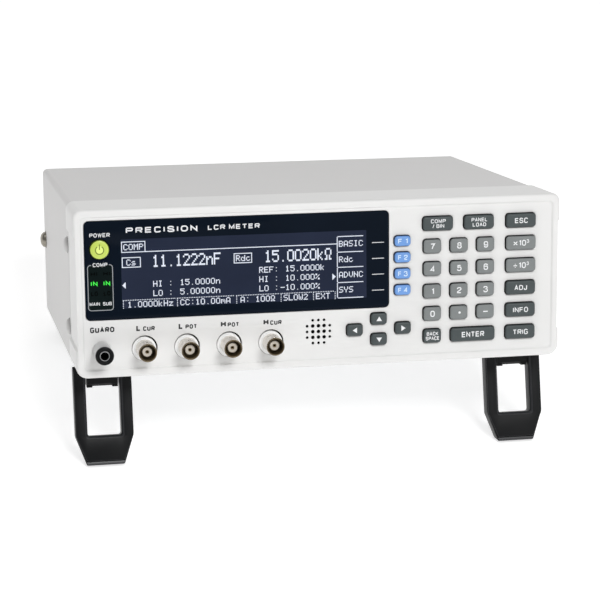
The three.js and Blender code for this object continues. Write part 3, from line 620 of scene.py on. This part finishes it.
for name, x, z, width, height, kind, lines in keys:
    face_mat, skirt_body_and_shade_mat, slot_name = KINDS[kind]
    sections = [key_section(x, z, width, height, inset, y) for inset, y in KEY_PROFILE]
    points, faces = loft(sections)
    skirt_faces = SKIRT_BANDS * len(sections[0][1])
    # Skirt bands take the skirt colour: the key's darker body and painted shade of the gap round it
    indices = [1 if i < skirt_faces else 0 for i in range(len(faces))]
    build(name + "_cap", points, faces, [face_mat, skirt_body_and_shade_mat], name, [name], indices,
          sharp=50)
    ink_y = KEY_FRONT - INK_THICKNESS
    ink_mat = SOFT_INK if kind == "soft" else KEY_INK
    parts = []
    if name[4:] in ARROWS:
        parts.append(arrow_head(x, z, ARROWS[name[4:]][2], ink_y))
    power_of_ten = name in ("key_divide_1000", "key_times_1000")
    for text, rise, cap, text_width in lines:
        weight = STROKES.get(cap, SMALL_STROKE)
        middle = x
        if power_of_ten:
            middle = x - 0.85 if cap > 2 else x + 3.75
        parts.append(lettering(text, middle, z + rise, cap, ink_y, text_width, weight))
    points, faces = merge(parts)
    build(name + "_legend", points, faces, [ink_mat], name, sharp=60)


# ---------------------------------------------------------------- display window
WINDOW_FRONT, WINDOW_BACK = 0.6, 2.1
points, faces = plate([
    rounded(*GLASS, 2.2), ring(POWER_X, POWER_Z, POWER_R + 0.45, 40),
], WINDOW_FRONT, WINDOW_BACK, 0.18)
build("window_pane", points, faces, [WINDOW], "case", ["display_window"])
lcd_outline = rounded(*LCD, 0.4, 2)
points, faces = loft([[WINDOW_FRONT - 0.02, lcd_outline], [WINDOW_FRONT + 0.1, lcd_outline]])
build("screen_field", points, faces, [SCREEN], "case")

# Dot-matrix text, in dots from the screen's top left corner. Each glyph is seven rows of five
# dots, a byte to a row.
DOT = 0.4455
GLYPH_ROWS, GLYPH_COLUMNS = 7, 5
GLYPHS = {
    "0": "0E11111111110E", "1": "040C040404040E", "2": "0E11010204081F", "5": "1F101E0101110E",
    ".": "00000000000004", ":": "00040000000400", "-": "0000001F000000", "%": "18190204081303",
    "A": "0E1111111F1111", "B": "1E11111E11111E", "C": "0E11101010110E", "D": "1C12111111121C",
    "E": "1F10101E10101F", "F": "1F10101E101010", "H": "1111111F111111", "I": "0E04040404040E",
    "L": "1010101010101F", "M": "111B1515111111", "N": "11111915131111", "O": "0E11111111110E",
    "P": "1E11111E101010", "R": "1E11111E141211", "S": "0F10100E01011E", "T": "1F040404040404",
    "V": "11111111110A04", "W": "1111111515150A", "X": "11110A040A1111", "Y": "1111110A040404",
    "Ω": "0E1111110A0A1B", "c": "00000E1010110E", "d": "01010D1311110F",
    "k": "10101214181412", "m": "00001A15151111", "n": "00001619111111", "s": "00000E100E011E",
    "z": "00001F0204081F",
}
lcd_parts = []


def dots(left, top, right, bottom):
    """A lit rectangle, in dots."""
    lcd_parts.append(slab(LCD[0] + left * DOT, LCD[0] + right * DOT, LCD[3] - bottom * DOT,
                          LCD[3] - top * DOT, WINDOW_FRONT - 0.05, WINDOW_FRONT - 0.02))


def write(text, left, top, wide=1.0, tall=1.0, advance=6.0):
    """Text in lit dots, each run of dots in a row as one rectangle."""
    for n, letter in enumerate(text):
        if letter == " ":
            continue
        x0 = left + n * advance
        for r in range(GLYPH_ROWS):
            bits = int(GLYPHS[letter][2 * r:2 * r + 2], 16)
            c = 0
            while c < GLYPH_COLUMNS:
                run = 0
                while c + run < GLYPH_COLUMNS and bits >> (GLYPH_COLUMNS - 1 - c - run) & 1:
                    run += 1
                if run:
                    dots(x0 + c * wide, top + r * tall, x0 + (c + run) * wide, top + (r + 1) * tall)
                c += run + 1


def frame_box(left, top, right, bottom):
    """Outline of a box, one dot wide."""
    dots(left, top, right, top + 1)
    dots(left, bottom - 1, right, bottom)
    dots(left, top + 1, left + 1, bottom - 1)
    dots(right - 1, top + 1, right, bottom - 1)


def triangle(tip, middle, way):
    """Small arrow head that points against way."""
    for i in range(4):
        dots(tip + way * i - 0.5, middle - i - 0.5, tip + way * i + 0.5, middle + i + 0.5)


frame_box(0.5, 2.6, 28.5, 15.6)
write("COMP", 3, 5.6)
dots(28.5, 14.6, 254.5, 15.6)
frame_box(0.8, 21, 22.8, 33.2)
write("Cs", 6, 23.6)
write("11.1222nF", 36, 19.5, 1.6, 2.0, 9.0)
frame_box(131.5, 21.3, 153.2, 33.3)
write("Rdc", 134, 23.8)
write("15.0020kΩ", 168, 19.5, 1.6, 2.0, 9.0)
triangle(1.2, 53.7, 1)
write("HI :", 36.5, 49.7)
write("15.0000n", 68, 49.2)
write("LO :", 36.5, 60.7)
write("5.00000n", 68, 60.2)
write("REF:", 161.4, 38.7)
write("15.0000k", 192.6, 38.4)
write("HI :", 161.4, 49.7)
write("10.000%", 192.6, 49.4)
write("LO :", 161.4, 60.7)
write("-10.000%", 186.6, 60.5)
triangle(252.4, 54.0, -1)
status = (1.0, 64.0, 133.8, 186.7, 225.5, 251.7)
for text, left in (("1.0000kHz", 6.4), ("CC:10.00mA", 67.8), ("A: 100Ω", 138.8),
                   ("SLOW2", 190.2), ("EXT", 228.9)):
    write(text, left, 72.9)
# Dotted lines round the cells of the status line
for x0, x1 in zip(status, status[1:]):
    for i in range(int((x1 - x0) / 2)):
        dots(x0 + 2 * i, 70.8, x0 + 2 * i + 1, 71.8)
for x0 in status:
    for i in range(5):
        dots(x0, 71.8 + 2 * i, x0 + 1, 72.8 + 2 * i)
# Menu tabs down the right of the screen
tabs = (6.0, 24.5, 42.6, 60.8, 79.2)
for z in tabs:
    dots(255.5, z, 286.4, z + 1)
for z0, z1 in zip(tabs, tabs[1:]):
    dots(254.5, z0 + 1, 255.5, z1)
for text, z in (("BASIC", 11.6), ("Rdc", 30.2), ("ADVNC", 48.6), ("SYS", 66.4)):
    write(text, 256.9, z)
points, faces = merge(lcd_parts)
build("screen_text", points, faces, [DOTS], "case", sharp=60)

# Printing on the window: heading, power label, comparator lamps and soft-key ticks
ink = WINDOW_FRONT - INK_THICKNESS
words = [
    lettering("PRECISION", -84.2, 76.5, 3.0, ink, 37.0, 0.7),
    lettering("LCR METER", -46.6, 76.5, 2.5, ink, 27.2, 0.56),
    lettering("POWER", -116.2, 74.6, 2.05, ink, 10.5, 0.41),
    lettering("COMP", -116.35, 59.3, 1.9, ink, 7.5, 0.37),
    lettering("MAIN", -119.6, 39.0, 1.75, ink, 5.3, 0.33),
    lettering("SUB", -113.1, 39.0, 1.75, ink, 4.5, 0.33),
]
for z in (65.2, 56.75, 48.3, 39.8):
    words.append(slab(26.8, 33.3, z - 0.17, z + 0.17, ink, ink + INK_THICKNESS))
points, faces = merge(words)
build("window_print", points, faces, [PRINT], "case", sharp=60)
# Comparator box: a dark field, then a white outline left open at the top for its heading
field = rounded(-123, -109.8, 35.4, 59.4, 1.6)
points, faces = loft([[WINDOW_FRONT - 0.01, field], [WINDOW_FRONT + 0.1, field]])
build("comparator_field", points, faces, [LAMP_FIELD], "case")
outline = rounded(-122.8, -110.0, 35.6, 59.2, 1.5, 6)
bottom_right, top_right, top_left, bottom_left = (
    outline[start:start + 7][::-1] for start in (0, 7, 14, 21))
path = [(-111.8, 59.2)] + top_right + bottom_right + bottom_left + top_left + [(-120.9, 59.2)]
points, faces = ribbon(path, False, 0.2, ink)
build("comparator_frame", points, faces, [FRAME_LINE], "case", sharp=60)
lit, unlit = [], []
for x in (-119.6, -113.1):
    unlit.append(lettering("HI", x, 54.65, 2.3, ink, 3.4, 0.5))
    lit.append(lettering("IN", x, 49.6, 2.3, ink, 3.4, 0.5))
    unlit.append(lettering("LO", x, 44.4, 2.3, ink, 3.6, 0.5))
points, faces = merge(lit)
build("comparator_lamps_lit", points, faces, [LAMP_GREEN], "case", sharp=60)
points, faces = merge(unlit)
build("comparator_lamps_unlit", points, faces, [LAMP_OFF], "case", sharp=60)

# ---------------------------------------------------------------- power button
points, faces = turned(POWER_X, POWER_Z, [
    (0, -0.5), (2.0, -0.5), (4.35, -0.46), (4.7, -0.3), (4.88, 0.05), (4.9, 0.4),
    (4.9, 4.1), (6.1, 4.1), (6.1, 5.1), (0, 5.1),
], 48)
# Bright middle, lit face and darker rim
CORE_RADIUS, RIM_START = 2.0, -0.36
tones = []
for face in faces:
    centre = face_centre(points, face)
    reach = math.hypot(centre.x - POWER_X, centre.z - POWER_Z)
    core = reach < CORE_RADIUS and centre.y < 0
    tones.append(1 if core else 2 if centre.y > RIM_START else 0)
build("power_button_cap", points, faces, [POWER, POWER_CORE, POWER_EDGE], "power_button",
      ["power_button"], tones)
MARK_RADIUS, MARK_FRONT = 2.1, -0.53
arc = []
for i in range(33):
    angle = math.radians(122 + 296 * i / 32)
    arc.append((POWER_X + MARK_RADIUS * math.cos(angle),
                POWER_Z - 0.2 + MARK_RADIUS * math.sin(angle)))
stem = [(POWER_X, POWER_Z + 0.1), (POWER_X, POWER_Z + 2.9)]
points, faces = merge([ribbon(arc, False, 0.27, MARK_FRONT), ribbon(stem, False, 0.25, MARK_FRONT)])
build("power_symbol", points, faces, [POWER_MARK], "power_button")

# ---------------------------------------------------------------- printing on the panel
ink = PANEL - 0.02
printing = [lettering("GUARD", -116.1, 25.35, 2.8, ink, 12.6, 0.74)]
for letter, text, x, width in (("L", "CUR", -93.9, 2.3), ("L", "POT", -71.8, 2.3),
                               ("H", "POT", -49.6, 2.7), ("H", "CUR", -27.0, 2.7)):
    printing.append(lettering(letter, x - 4.2, 25.4, 3.1, ink, width, 0.84, "LEFT"))
    printing.append(lettering(text, x + 2.0, 24.95, 2.3, ink, 6.1, 0.6))
points, faces = merge(printing)
build("panel_print", points, faces, [PANEL_INK], "case", sharp=60)

# ---------------------------------------------------------------- jacks and guard post
JACKS = ("bnc_low_current", "bnc_low_potential", "bnc_high_potential", "bnc_high_current")
MOUTH_FRONT, MOUTH_RADIUS = -11.9, 4.1
STUD_Y, STUD_OFFSET = -8.9, 4.75
for i, name in enumerate(JACKS):
    x = BNC_X + i * BNC_PITCH
    points, faces = turned(x - 0.3, TERMINAL_Z - 0.2, [
        (0, 6), (7.6, 6), (7.6, 4.1), (6.25, 4.1), (6.25, 0.5), (6.05, 0.22), (5.6, 0.1), (0, 0.1),
    ], 56)
    build(name + "_bush", points, faces, [BUSH], "case", [name])
    # A near-black disc behind each panel hole: painted shade in the gap round the bush
    points, faces = turned(x, TERMINAL_Z, [(0, 6), (7.9, 6), (7.9, 3.6), (0, 3.6)], 32)
    build(name + "_gap", points, faces, [SHADE_BLACK], "case")
    points, faces = turned(x, TERMINAL_Z, [
        (0, 3), (5.5, 3), (5.5, -0.2), (5.3, -0.5), (4.9, -0.65), (4.7, -1.3), (4.7, -2.3),
        (4.8, -2.4), (4.8, -11.6), (4.74, -11.95), (4.55, -12.15), (4.35, -12.2), (4.15, -12.1),
        (4.05, -11.8), (4.05, -4.2), (0, -4.2),
    ], 56)
    # Faces in the bore and on the front lip get the darker brown: painted shade inside the barrel
    inside = []
    for face in faces:
        centre = face_centre(points, face)
        reach = math.hypot(centre.x - x, centre.z - TERMINAL_Z)
        mouth_shade = centre.y < MOUTH_FRONT or (centre.y < -4 and reach < MOUTH_RADIUS)
        inside.append(1 if mouth_shade else 2 if centre.y > -0.7 else 0)
    build(name + "_barrel", points, faces, [NICKEL, MOUTH_SHADE, BUSH], "case", [name],
          inside)
    for side in (-1, 1):
        stud_points, stud_faces = turned(0, 0, [
            (0, 0), (0.8, 0), (0.8, 0.35), (0.68, 0.48), (0, 0.5)], 20)
        stud = [(x + px, STUD_Y + pz, TERMINAL_Z + side * (STUD_OFFSET + py))
                for px, py, pz in stud_points]
        label = "bottom" if side < 0 else "top"
        build(f"{name}_lug_{label}", stud, stud_faces, [NICKEL], "case", [name])
    points, faces = turned(x, TERMINAL_Z, [
        (0, -4.9), (1.0, -4.9), (1.0, -8.9), (2.3, -9.1), (2.5, -8.95), (2.6, -8.5), (2.6, -4.0),
        (0, -4.0),
    ], 44)
    build(name + "_insulator", points, faces, [IVORY], "case", [name])
    points, faces = turned(x, TERMINAL_Z, [
        (0, -4.6), (0.5, -4.6), (0.5, -8.95), (0.68, -9.05), (0.9, -8.9), (0.9, -4.3), (0, -4.3),
    ], 28)
    # The pin's bore is painted near black: painted shade inside the hole
    dark = []
    for face in faces:
        centre = face_centre(points, face)
        dark.append(1 if math.hypot(centre.x - x, centre.z - TERMINAL_Z) < 0.52 else 0)
    build(name + "_contact", points, faces, [CONTACT, SHADE_BLACK], "case", [name], dark)

points, faces = turned(GUARD_X, TERMINAL_Z, [
    (0, 11), (2.2, 11), (2.2, 3.0), (3.8, 3.0), (3.8, 0.5), (4.4, 0.4), (4.7, 0.1), (4.7, -13.4),
    (4.55, -13.7), (3.2, -13.7), (3.2, -5.0), (0, -5.0),
], 48)
build("guard_sleeve", points, faces, [SLEEVE], "case", ["guard_terminal"])
points, faces = loft([
    [y, ring(GUARD_X, TERMINAL_Z, radius, 48)] for radius, y in (
        (3.1, -12.5), (4.62, -12.5), (4.72, -13.4), (4.78, -14.5), (4.6, -14.95), (4.2, -15.15),
        (3.75, -15.12), (3.6, -14.98), (3.45, -15.08), (2.8, -14.95), (2.6, -14.6), (2.6, -12.9))
], loop=True)
build("guard_ring", points, faces, [BLACK], "case", ["guard_terminal"])
points, faces = turned(GUARD_X, TERMINAL_Z, [
    (0, -6.2), (2.1, -6.2), (2.1, -14.7), (2.2, -14.86), (2.4, -14.88), (2.52, -14.7),
    (2.55, -12.0), (2.55, -5.4), (0, -5.4),
], 40)
# The socket's bore is painted near black: painted shade inside the hole
dark = []
for face in faces:
    centre = face_centre(points, face)
    reach = math.hypot(centre.x - GUARD_X, centre.z - TERMINAL_Z)
    dark.append(1 if reach < 2.22 else 0)
build("guard_socket", points, faces, [STEEL, SHADE_BLACK], "case", ["guard_terminal"],
      dark)

# ---------------------------------------------------------------- top cover
COVER_SIDE, COVER_TOP, CASE_BOTTOM, SHEET = 129.0, 87.0, 2.2, 1.2
COVER_FRONT, COVER_BACK = 37.3, 202.5
COVER_RADIUS = 3.0


def cover_path(inset):
    """Open path up the left side, over the top and down the right side."""
    radius = COVER_RADIUS - inset
    side, top = COVER_SIDE - inset, COVER_TOP - inset
    path = [(-side, CASE_BOTTOM), (-side, 30.0), (-side, 58.0)]
    for i in range(9):
        angle = math.radians(180 - 90 * i / 8)
        path.append((-side + radius + radius * math.cos(angle),
                     top - radius + radius * math.sin(angle)))
    return path + [(-x, z) for x, z in reversed(path)]


outer, inner = cover_path(0), cover_path(SHEET)
EDGE = 0.35
levels = [(COVER_FRONT, EDGE), (COVER_FRONT + EDGE, 0), (COVER_BACK - EDGE, 0), (COVER_BACK, EDGE)]
points, faces = [], []
for y, inset in levels:
    points += [(x, y, z) for x, z in cover_path(inset)]
count = len(outer)
inner_start = len(points)
points += [(x, COVER_FRONT, z) for x, z in inner] + [(x, COVER_BACK, z) for x, z in inner]
for s in range(len(levels) - 1):
    for i in range(count - 1):
        a = s * count + i
        faces.append((a, a + 1, a + count + 1, a + count))
last = 3 * count
for i in range(count - 1):
    a, b = inner_start + i, inner_start + count + i
    faces.append((a, b, b + 1, a + 1))
    faces.append((i, a, a + 1, i + 1))
    faces.append((last + i, last + i + 1, b + 1, b))
for i in (0, count - 1):
    faces.append((i, i + count, i + 2 * count, i + 3 * count, inner_start + count + i,
                  inner_start + i))
build("cover_sheet", points, faces, [COVER], "case", ["top_cover"], sharp=40)


def side_head(name, side, y, z, radius, height, mats, replaced):
    """A domed head on the side of the case, over a thin near-black seat that paints in the shade round
    the head's base.
    """
    profile = [(0, -0.6), (radius, -0.6), (radius, 0.25)]
    for i in range(1, 7):
        angle = math.radians(15 * i)
        profile.append((radius * math.cos(angle) ** 0.8, 0.25 + (height - 0.25) * math.sin(angle)))
    profile[-1] = (0, height)
    flat_points, faces = turned(0, 0, profile, 36)
    points = [(side * (COVER_SIDE + out), y + a, z + b) for a, out, b in flat_points]
    build(name, points, faces, mats, "case", replaced, sharp=50)
    # The seat: a near-black ring just wider than the head, painted shade round its base
    flat_points, faces = turned(0, 0, [(0, -0.5), (radius + 0.35, -0.5), (radius + 0.35, 0.05),
                                       (0, 0.05)], 36)
    points = [(side * (COVER_SIDE + out), y + a, z + b) for a, out, b in flat_points]
    build(name + "_seat", points, faces, [SHADE_BLACK], "case")


BOSS_Y, SIDE_SCREW_Y, SIDE_SCREW_Z = 43.6, 193.5, 45.2
for side, label in SIDES:
    for z, level in ((20.0, "low"), (64.0, "high")):
        side_head(f"boss_{label}_{level}", side, BOSS_Y, z, 4.2, 2.2, [COVER],
                  ["top_cover"])
    side_head(f"screw_{label}", side, SIDE_SCREW_Y, SIDE_SCREW_Z, 4.7, 3.3, [SCREW],
              [f"side_screw_{label}"])


# ---------------------------------------------------------------- rear screws
def rear_screw(name, x, z, seat, radius):
    """A low cross-recess screw head on a face at the back of the case."""
    head = 0.35 * radius
    points, faces = turned(x, z, [
        (0, seat - 0.5), (radius, seat - 0.5), (radius, seat + 0.3 * head),
        (0.8 * radius, seat + 0.75 * head), (0.45 * radius, seat + 0.97 * head),
        (0, seat + head),
    ], 28)
    build(name + "_head", points, faces, [SCREW], "case", sharp=50)
    # The cross recess is a near-black cross laid on the head: painted shade in the recess
    long, short = 0.5 * radius, 0.11 * radius
    top = seat + head + 0.02
    points, faces = merge([
        slab(x - long, x + long, z - short, z + short, top - 0.3, top),
        slab(x - short, x + short, z - long, z + long, top - 0.3, top + 0.005),
    ])
    build(name + "_recess", points, faces, [SHADE_BLACK], "case", sharp=60)


REAR_FACE = 201.5
SLOT_X, SLOT_Z, SLOT_REACH, SLOT_PLATE = -64, 62, 44.5, 1.5
for side, label in SIDES:
    for z, level in ((8.5, "low"), (80.5, "high")):
        rear_screw(f"rear_screw_{label}_{level}", side * 121.5, z, REAR_FACE, 2.6)
    rear_screw(f"slot_screw_{label}", SLOT_X + side * SLOT_REACH, SLOT_Z,
               REAR_FACE + SLOT_PLATE, 2.8)


# ---------------------------------------------------------------- stand legs
PIVOT_Y, PIVOT_Z, LEAN = 34.1, -4.6, math.radians(10)
FOOT_X = 113.7
HALF_THICK, LEG_LENGTH, KNEE = 4.2, 48.7, 33.1
HALF_WIDTH, TIP_HALF, SLOT_HALF, SLOT_END = 15.5, 10.1, 9.1, 33.0
SLOT_CHAMFER = 1.1


def leg_point(x, y, z):
    """From the leg hanging straight down at its pivot to the level meter."""
    return (x, PIVOT_Y + y * math.cos(LEAN) + z * math.sin(LEAN),
            PIVOT_Z - y * math.sin(LEAN) + z * math.cos(LEAN))


def soften(corners, radius_of, steps=4):
    """Polygon with each corner cut by a small curve."""
    points = []
    for n, (x, z) in enumerate(corners):
        radius = radius_of[n]
        before = Vector(corners[n - 1]) - Vector((x, z))
        after = Vector(corners[(n + 1) % len(corners)]) - Vector((x, z))
        if not radius:
            points.append((x, z))
            continue
        a = Vector((x, z)) + before.normalized() * radius
        b = Vector((x, z)) + after.normalized() * radius
        for i in range(steps + 1):
            t = i / steps
            points.append(tuple(a * (1 - t) ** 2 + Vector((x, z)) * 2 * t * (1 - t) + b * t * t))
    return points


def leg_outline(inset, bottom, slot_inset):
    """Leg seen from the front, hanging down: two arms, the slot between them and the tip."""
    rungs = (4.2, 4.0, 3.4, 2.4, 1.2, 0.0)
    w, s = HALF_WIDTH - inset, SLOT_HALF + slot_inset
    tip = TIP_HALF - inset * 0.8
    shape = [(w, z) for z in reversed(rungs)] + [(s, z) for z in rungs]
    radii = [0] * 12
    shape += [(s, -SLOT_END - slot_inset), (-s, -SLOT_END - slot_inset)]
    radii += [1.6, 1.6]
    shape += [(-s, z) for z in reversed(rungs)] + [(-w, z) for z in rungs]
    radii += [0] * 12
    shape += [(-w, -KNEE), (-tip, bottom), (tip, bottom), (w, -KNEE)]
    radii += [1.0, 0.8, 0.8, 1.0]
    return soften(shape, radii)


def slot_line(out):
    """Open line down, across and up round the slot, out mm from its wall."""
    s, end = SLOT_HALF + out, -SLOT_END - out
    return soften([(-s, RIM_TOP), (-s, end), (s, end), (s, RIM_TOP)], [0, 1.6, 1.6, 0])


RIM_TOP = 1.2
SOLE_ANGLE = LEAN + TILT
SOLE = 4.6
for side, label in SIDES:
    # The core layer is near black and shows as painted shade in the groove between the face plate and
    # the shell
    for piece, inset, bottom, slot_inset, y0, y1, edge in (
            ("shell", 0.0, -LEG_LENGTH, 0.0, -3.5, HALF_THICK, 0.6),
            ("core", 0.5, -LEG_LENGTH + 1.2, 0.6, -3.7, -3.3, 0.02),
            ("face", 0.2, -LEG_LENGTH + 2.3, SLOT_CHAMFER, -HALF_THICK, -3.66, 0.24)):
        thick = (y1 - y0) / 2
        points, faces = plate([leg_outline(inset, bottom, slot_inset)], y0, y1, min(edge, thick * 0.8))
        moved = []
        for x, y, z in points:
            if z > 0:
                reach = math.sqrt(max(0.0, HALF_THICK ** 2 - min(z, HALF_THICK) ** 2))
                y = max(-reach, min(reach, y))
            heel = HALF_THICK - SOLE
            ground = -LEG_LENGTH + max(0.0, (y - heel)) * math.tan(SOLE_ANGLE)
            if z < -KNEE - 8 and y > heel:
                z = max(z, ground)
            moved.append(leg_point(x + side * FOOT_X, y, z))
        # Bevelled faces of the face plate get the lighter edge black: painted highlight
        edges = []
        for face in faces:
            a, b, c = (Vector(points[v]) for v in face[:3])
            normal = (b - a).cross(c - a).normalized()
            edges.append(1 if 0.25 < abs(normal.y) < 0.97 and piece == "face" else 0)
        mats = [SHADE_BLACK] if piece == "core" else [LEG, LEG_EDGE_HIGHLIGHT]
        build(f"leg_{piece}_{label}", moved, faces, mats, f"stand_leg_{label}",
              [f"stand_leg_{label}"], edges, sharp=40)
    # Toe strip in the lighter edge black: painted highlight where the step catches the light
    toe = [(-3.45, -LEG_LENGTH + 1.8), (-3.45, -LEG_LENGTH + 0.1), (-4.05, -LEG_LENGTH + 0.15),
           (-4.1, -LEG_LENGTH + 0.4), (-3.75, -LEG_LENGTH + 1.8)]
    half = TIP_HALF - 0.5
    points = [leg_point(end * half + side * FOOT_X + end * 0.35 * (z + LEG_LENGTH), y, z)
              for end in (-1, 1) for y, z in toe]
    faces = [(i, (i + 1) % 5, (i + 1) % 5 + 5, i + 5) for i in range(5)]
    faces += [(4, 3, 2, 1, 0), (5, 6, 7, 8, 9)]
    build(f"leg_toe_{label}", points, faces, [LEG_EDGE_HIGHLIGHT], f"stand_leg_{label}",
          [f"stand_leg_{label}"])
    # Sloped rim round the slot, from the slot's wall out to the front face, in the lighter edge black:
    # painted highlight on the chamfer
    rim_lines = ((0.0, -3.0), (SLOT_CHAMFER, -3.0), (SLOT_CHAMFER, -4.08), (0.9, -4.12))
    rows = [[leg_point(x + side * FOOT_X, y, z) for x, z in slot_line(out)]
            for out, y in rim_lines]
    count = len(rows[0])
    points = [p for row in rows for p in row]
    faces = []
    for r in range(4):
        a, b = r * count, (r + 1) % 4 * count
        for i in range(count - 1):
            faces.append((a + i, a + i + 1, b + i + 1, b + i))
    faces += [(0, count, 2 * count, 3 * count),
              (4 * count - 1, 3 * count - 1, 2 * count - 1, count - 1)]
    build(f"leg_rim_{label}", points, faces, [LEG_EDGE_HIGHLIGHT], f"stand_leg_{label}",
          [f"stand_leg_{label}"])


# ---------------------------------------------------------------- kept CAD pieces
def finish_node(name, mat, width):
    """Keeps a CAD node, gives it its finish and softens its edges."""
    obj = frame["nodes"][name]
    obj.data.materials.clear()
    obj.data.materials.append(mat)
    clean = obj.modifiers.new("clean", "DECIMATE")
    clean.decimate_type = "DISSOLVE"
    clean.angle_limit = math.radians(1)
    if width:
        bevel = obj.modifiers.new("bevel", "BEVEL")
        bevel.width = width * MM
        bevel.segments = 2
        bevel.limit_method = "ANGLE"
        bevel.angle_limit = math.radians(35)
        bevel.harden_normals = True


for name, mat, width in (
        ("bottom_chassis", STEEL, 0), ("rear_panel", COVER, 0.2), ("mains_inlet", BLACK, 0.25),
        ("main_switch_frame", BLACK, 0.25), ("main_switch_rocker", BLACK, 0.4),
        ("ext_io_connector", NICKEL, 0), ("interface_slot_cover", COVER, 0.25),
        ("front_foot_left", BLACK, 0.4), ("front_foot_right", BLACK, 0.4),
        ("rear_foot_left", RUBBER, 0.6), ("rear_foot_right", RUBBER, 0.6),
        ("display_module", BLACK, 0), ("key_mat", MAT, 0), ("key_board", GREEN_BOARD, 0),
        ("main_board", GREEN_BOARD, 0), ("power_supply", STEEL, 0), ("speaker", SHADE_BLACK, 0)):
    finish_node(name, mat, width)

# ---------------------------------------------------------------- stage and light
scene.view_settings.view_transform = "Standard"


def stage_plane():
    """Pale floor that curves up into a backdrop far behind the meter."""
    path = [(-8.0, 0), (2.2, 0)]
    for i in range(1, 13):
        angle = math.radians(90 * i / 12)
        path.append((2.2 + 1.2 * math.sin(angle), 1.2 - 1.2 * math.cos(angle)))
    path.append((3.4, 4.0))
    points = [(x, y, z) for y, z in path for x in (-14, 14)]
    faces = [(2 * i, 2 * i + 1, 2 * i + 3, 2 * i + 2) for i in range(len(path) - 1)]
    mesh = bpy.data.meshes.new("studio_floor")
    mesh.from_pydata(points, [], faces)
    mesh.polygons.foreach_set("use_smooth", [True] * len(mesh.polygons))
    mesh.materials.append(material("floor_white", (0.62, 0.62, 0.62), 0.8, vary=0.005, glow=1.05))
    floor = bpy.data.objects.new("studio_floor", mesh)
    scene.collection.objects.link(floor)


stage_plane()
world = bpy.data.worlds.new("studio")
world.use_nodes = True
sky = world.node_tree.nodes["Background"]
sky.inputs["Color"].default_value = (1, 1, 1, 1)
sky.inputs["Strength"].default_value = 0.26
scene.world = world


def area_light(name, at, size, power, target=(0, 0, 0.06)):
    data = bpy.data.lights.new(name, "AREA")
    data.shape = "RECTANGLE"
    data.size, data.size_y = size
    data.energy = power
    lamp = bpy.data.objects.new(name, data)
    lamp.location = at
    aim = Vector(target) - Vector(at)
    lamp.rotation_euler = aim.to_track_quat("-Z", "Y").to_euler()
    scene.collection.objects.link(lamp)


# name, place, size and power in metres and watts
area_light("key_light", (0.25, -1.4, 1.45), (0.6, 0.6), 19)
area_light("edge_light", (-0.6, -0.3, 1.6), (0.3, 0.8), 2)
area_light("fill_light", (1.0, -1.8, 0.7), (1.2, 1.2), 3)
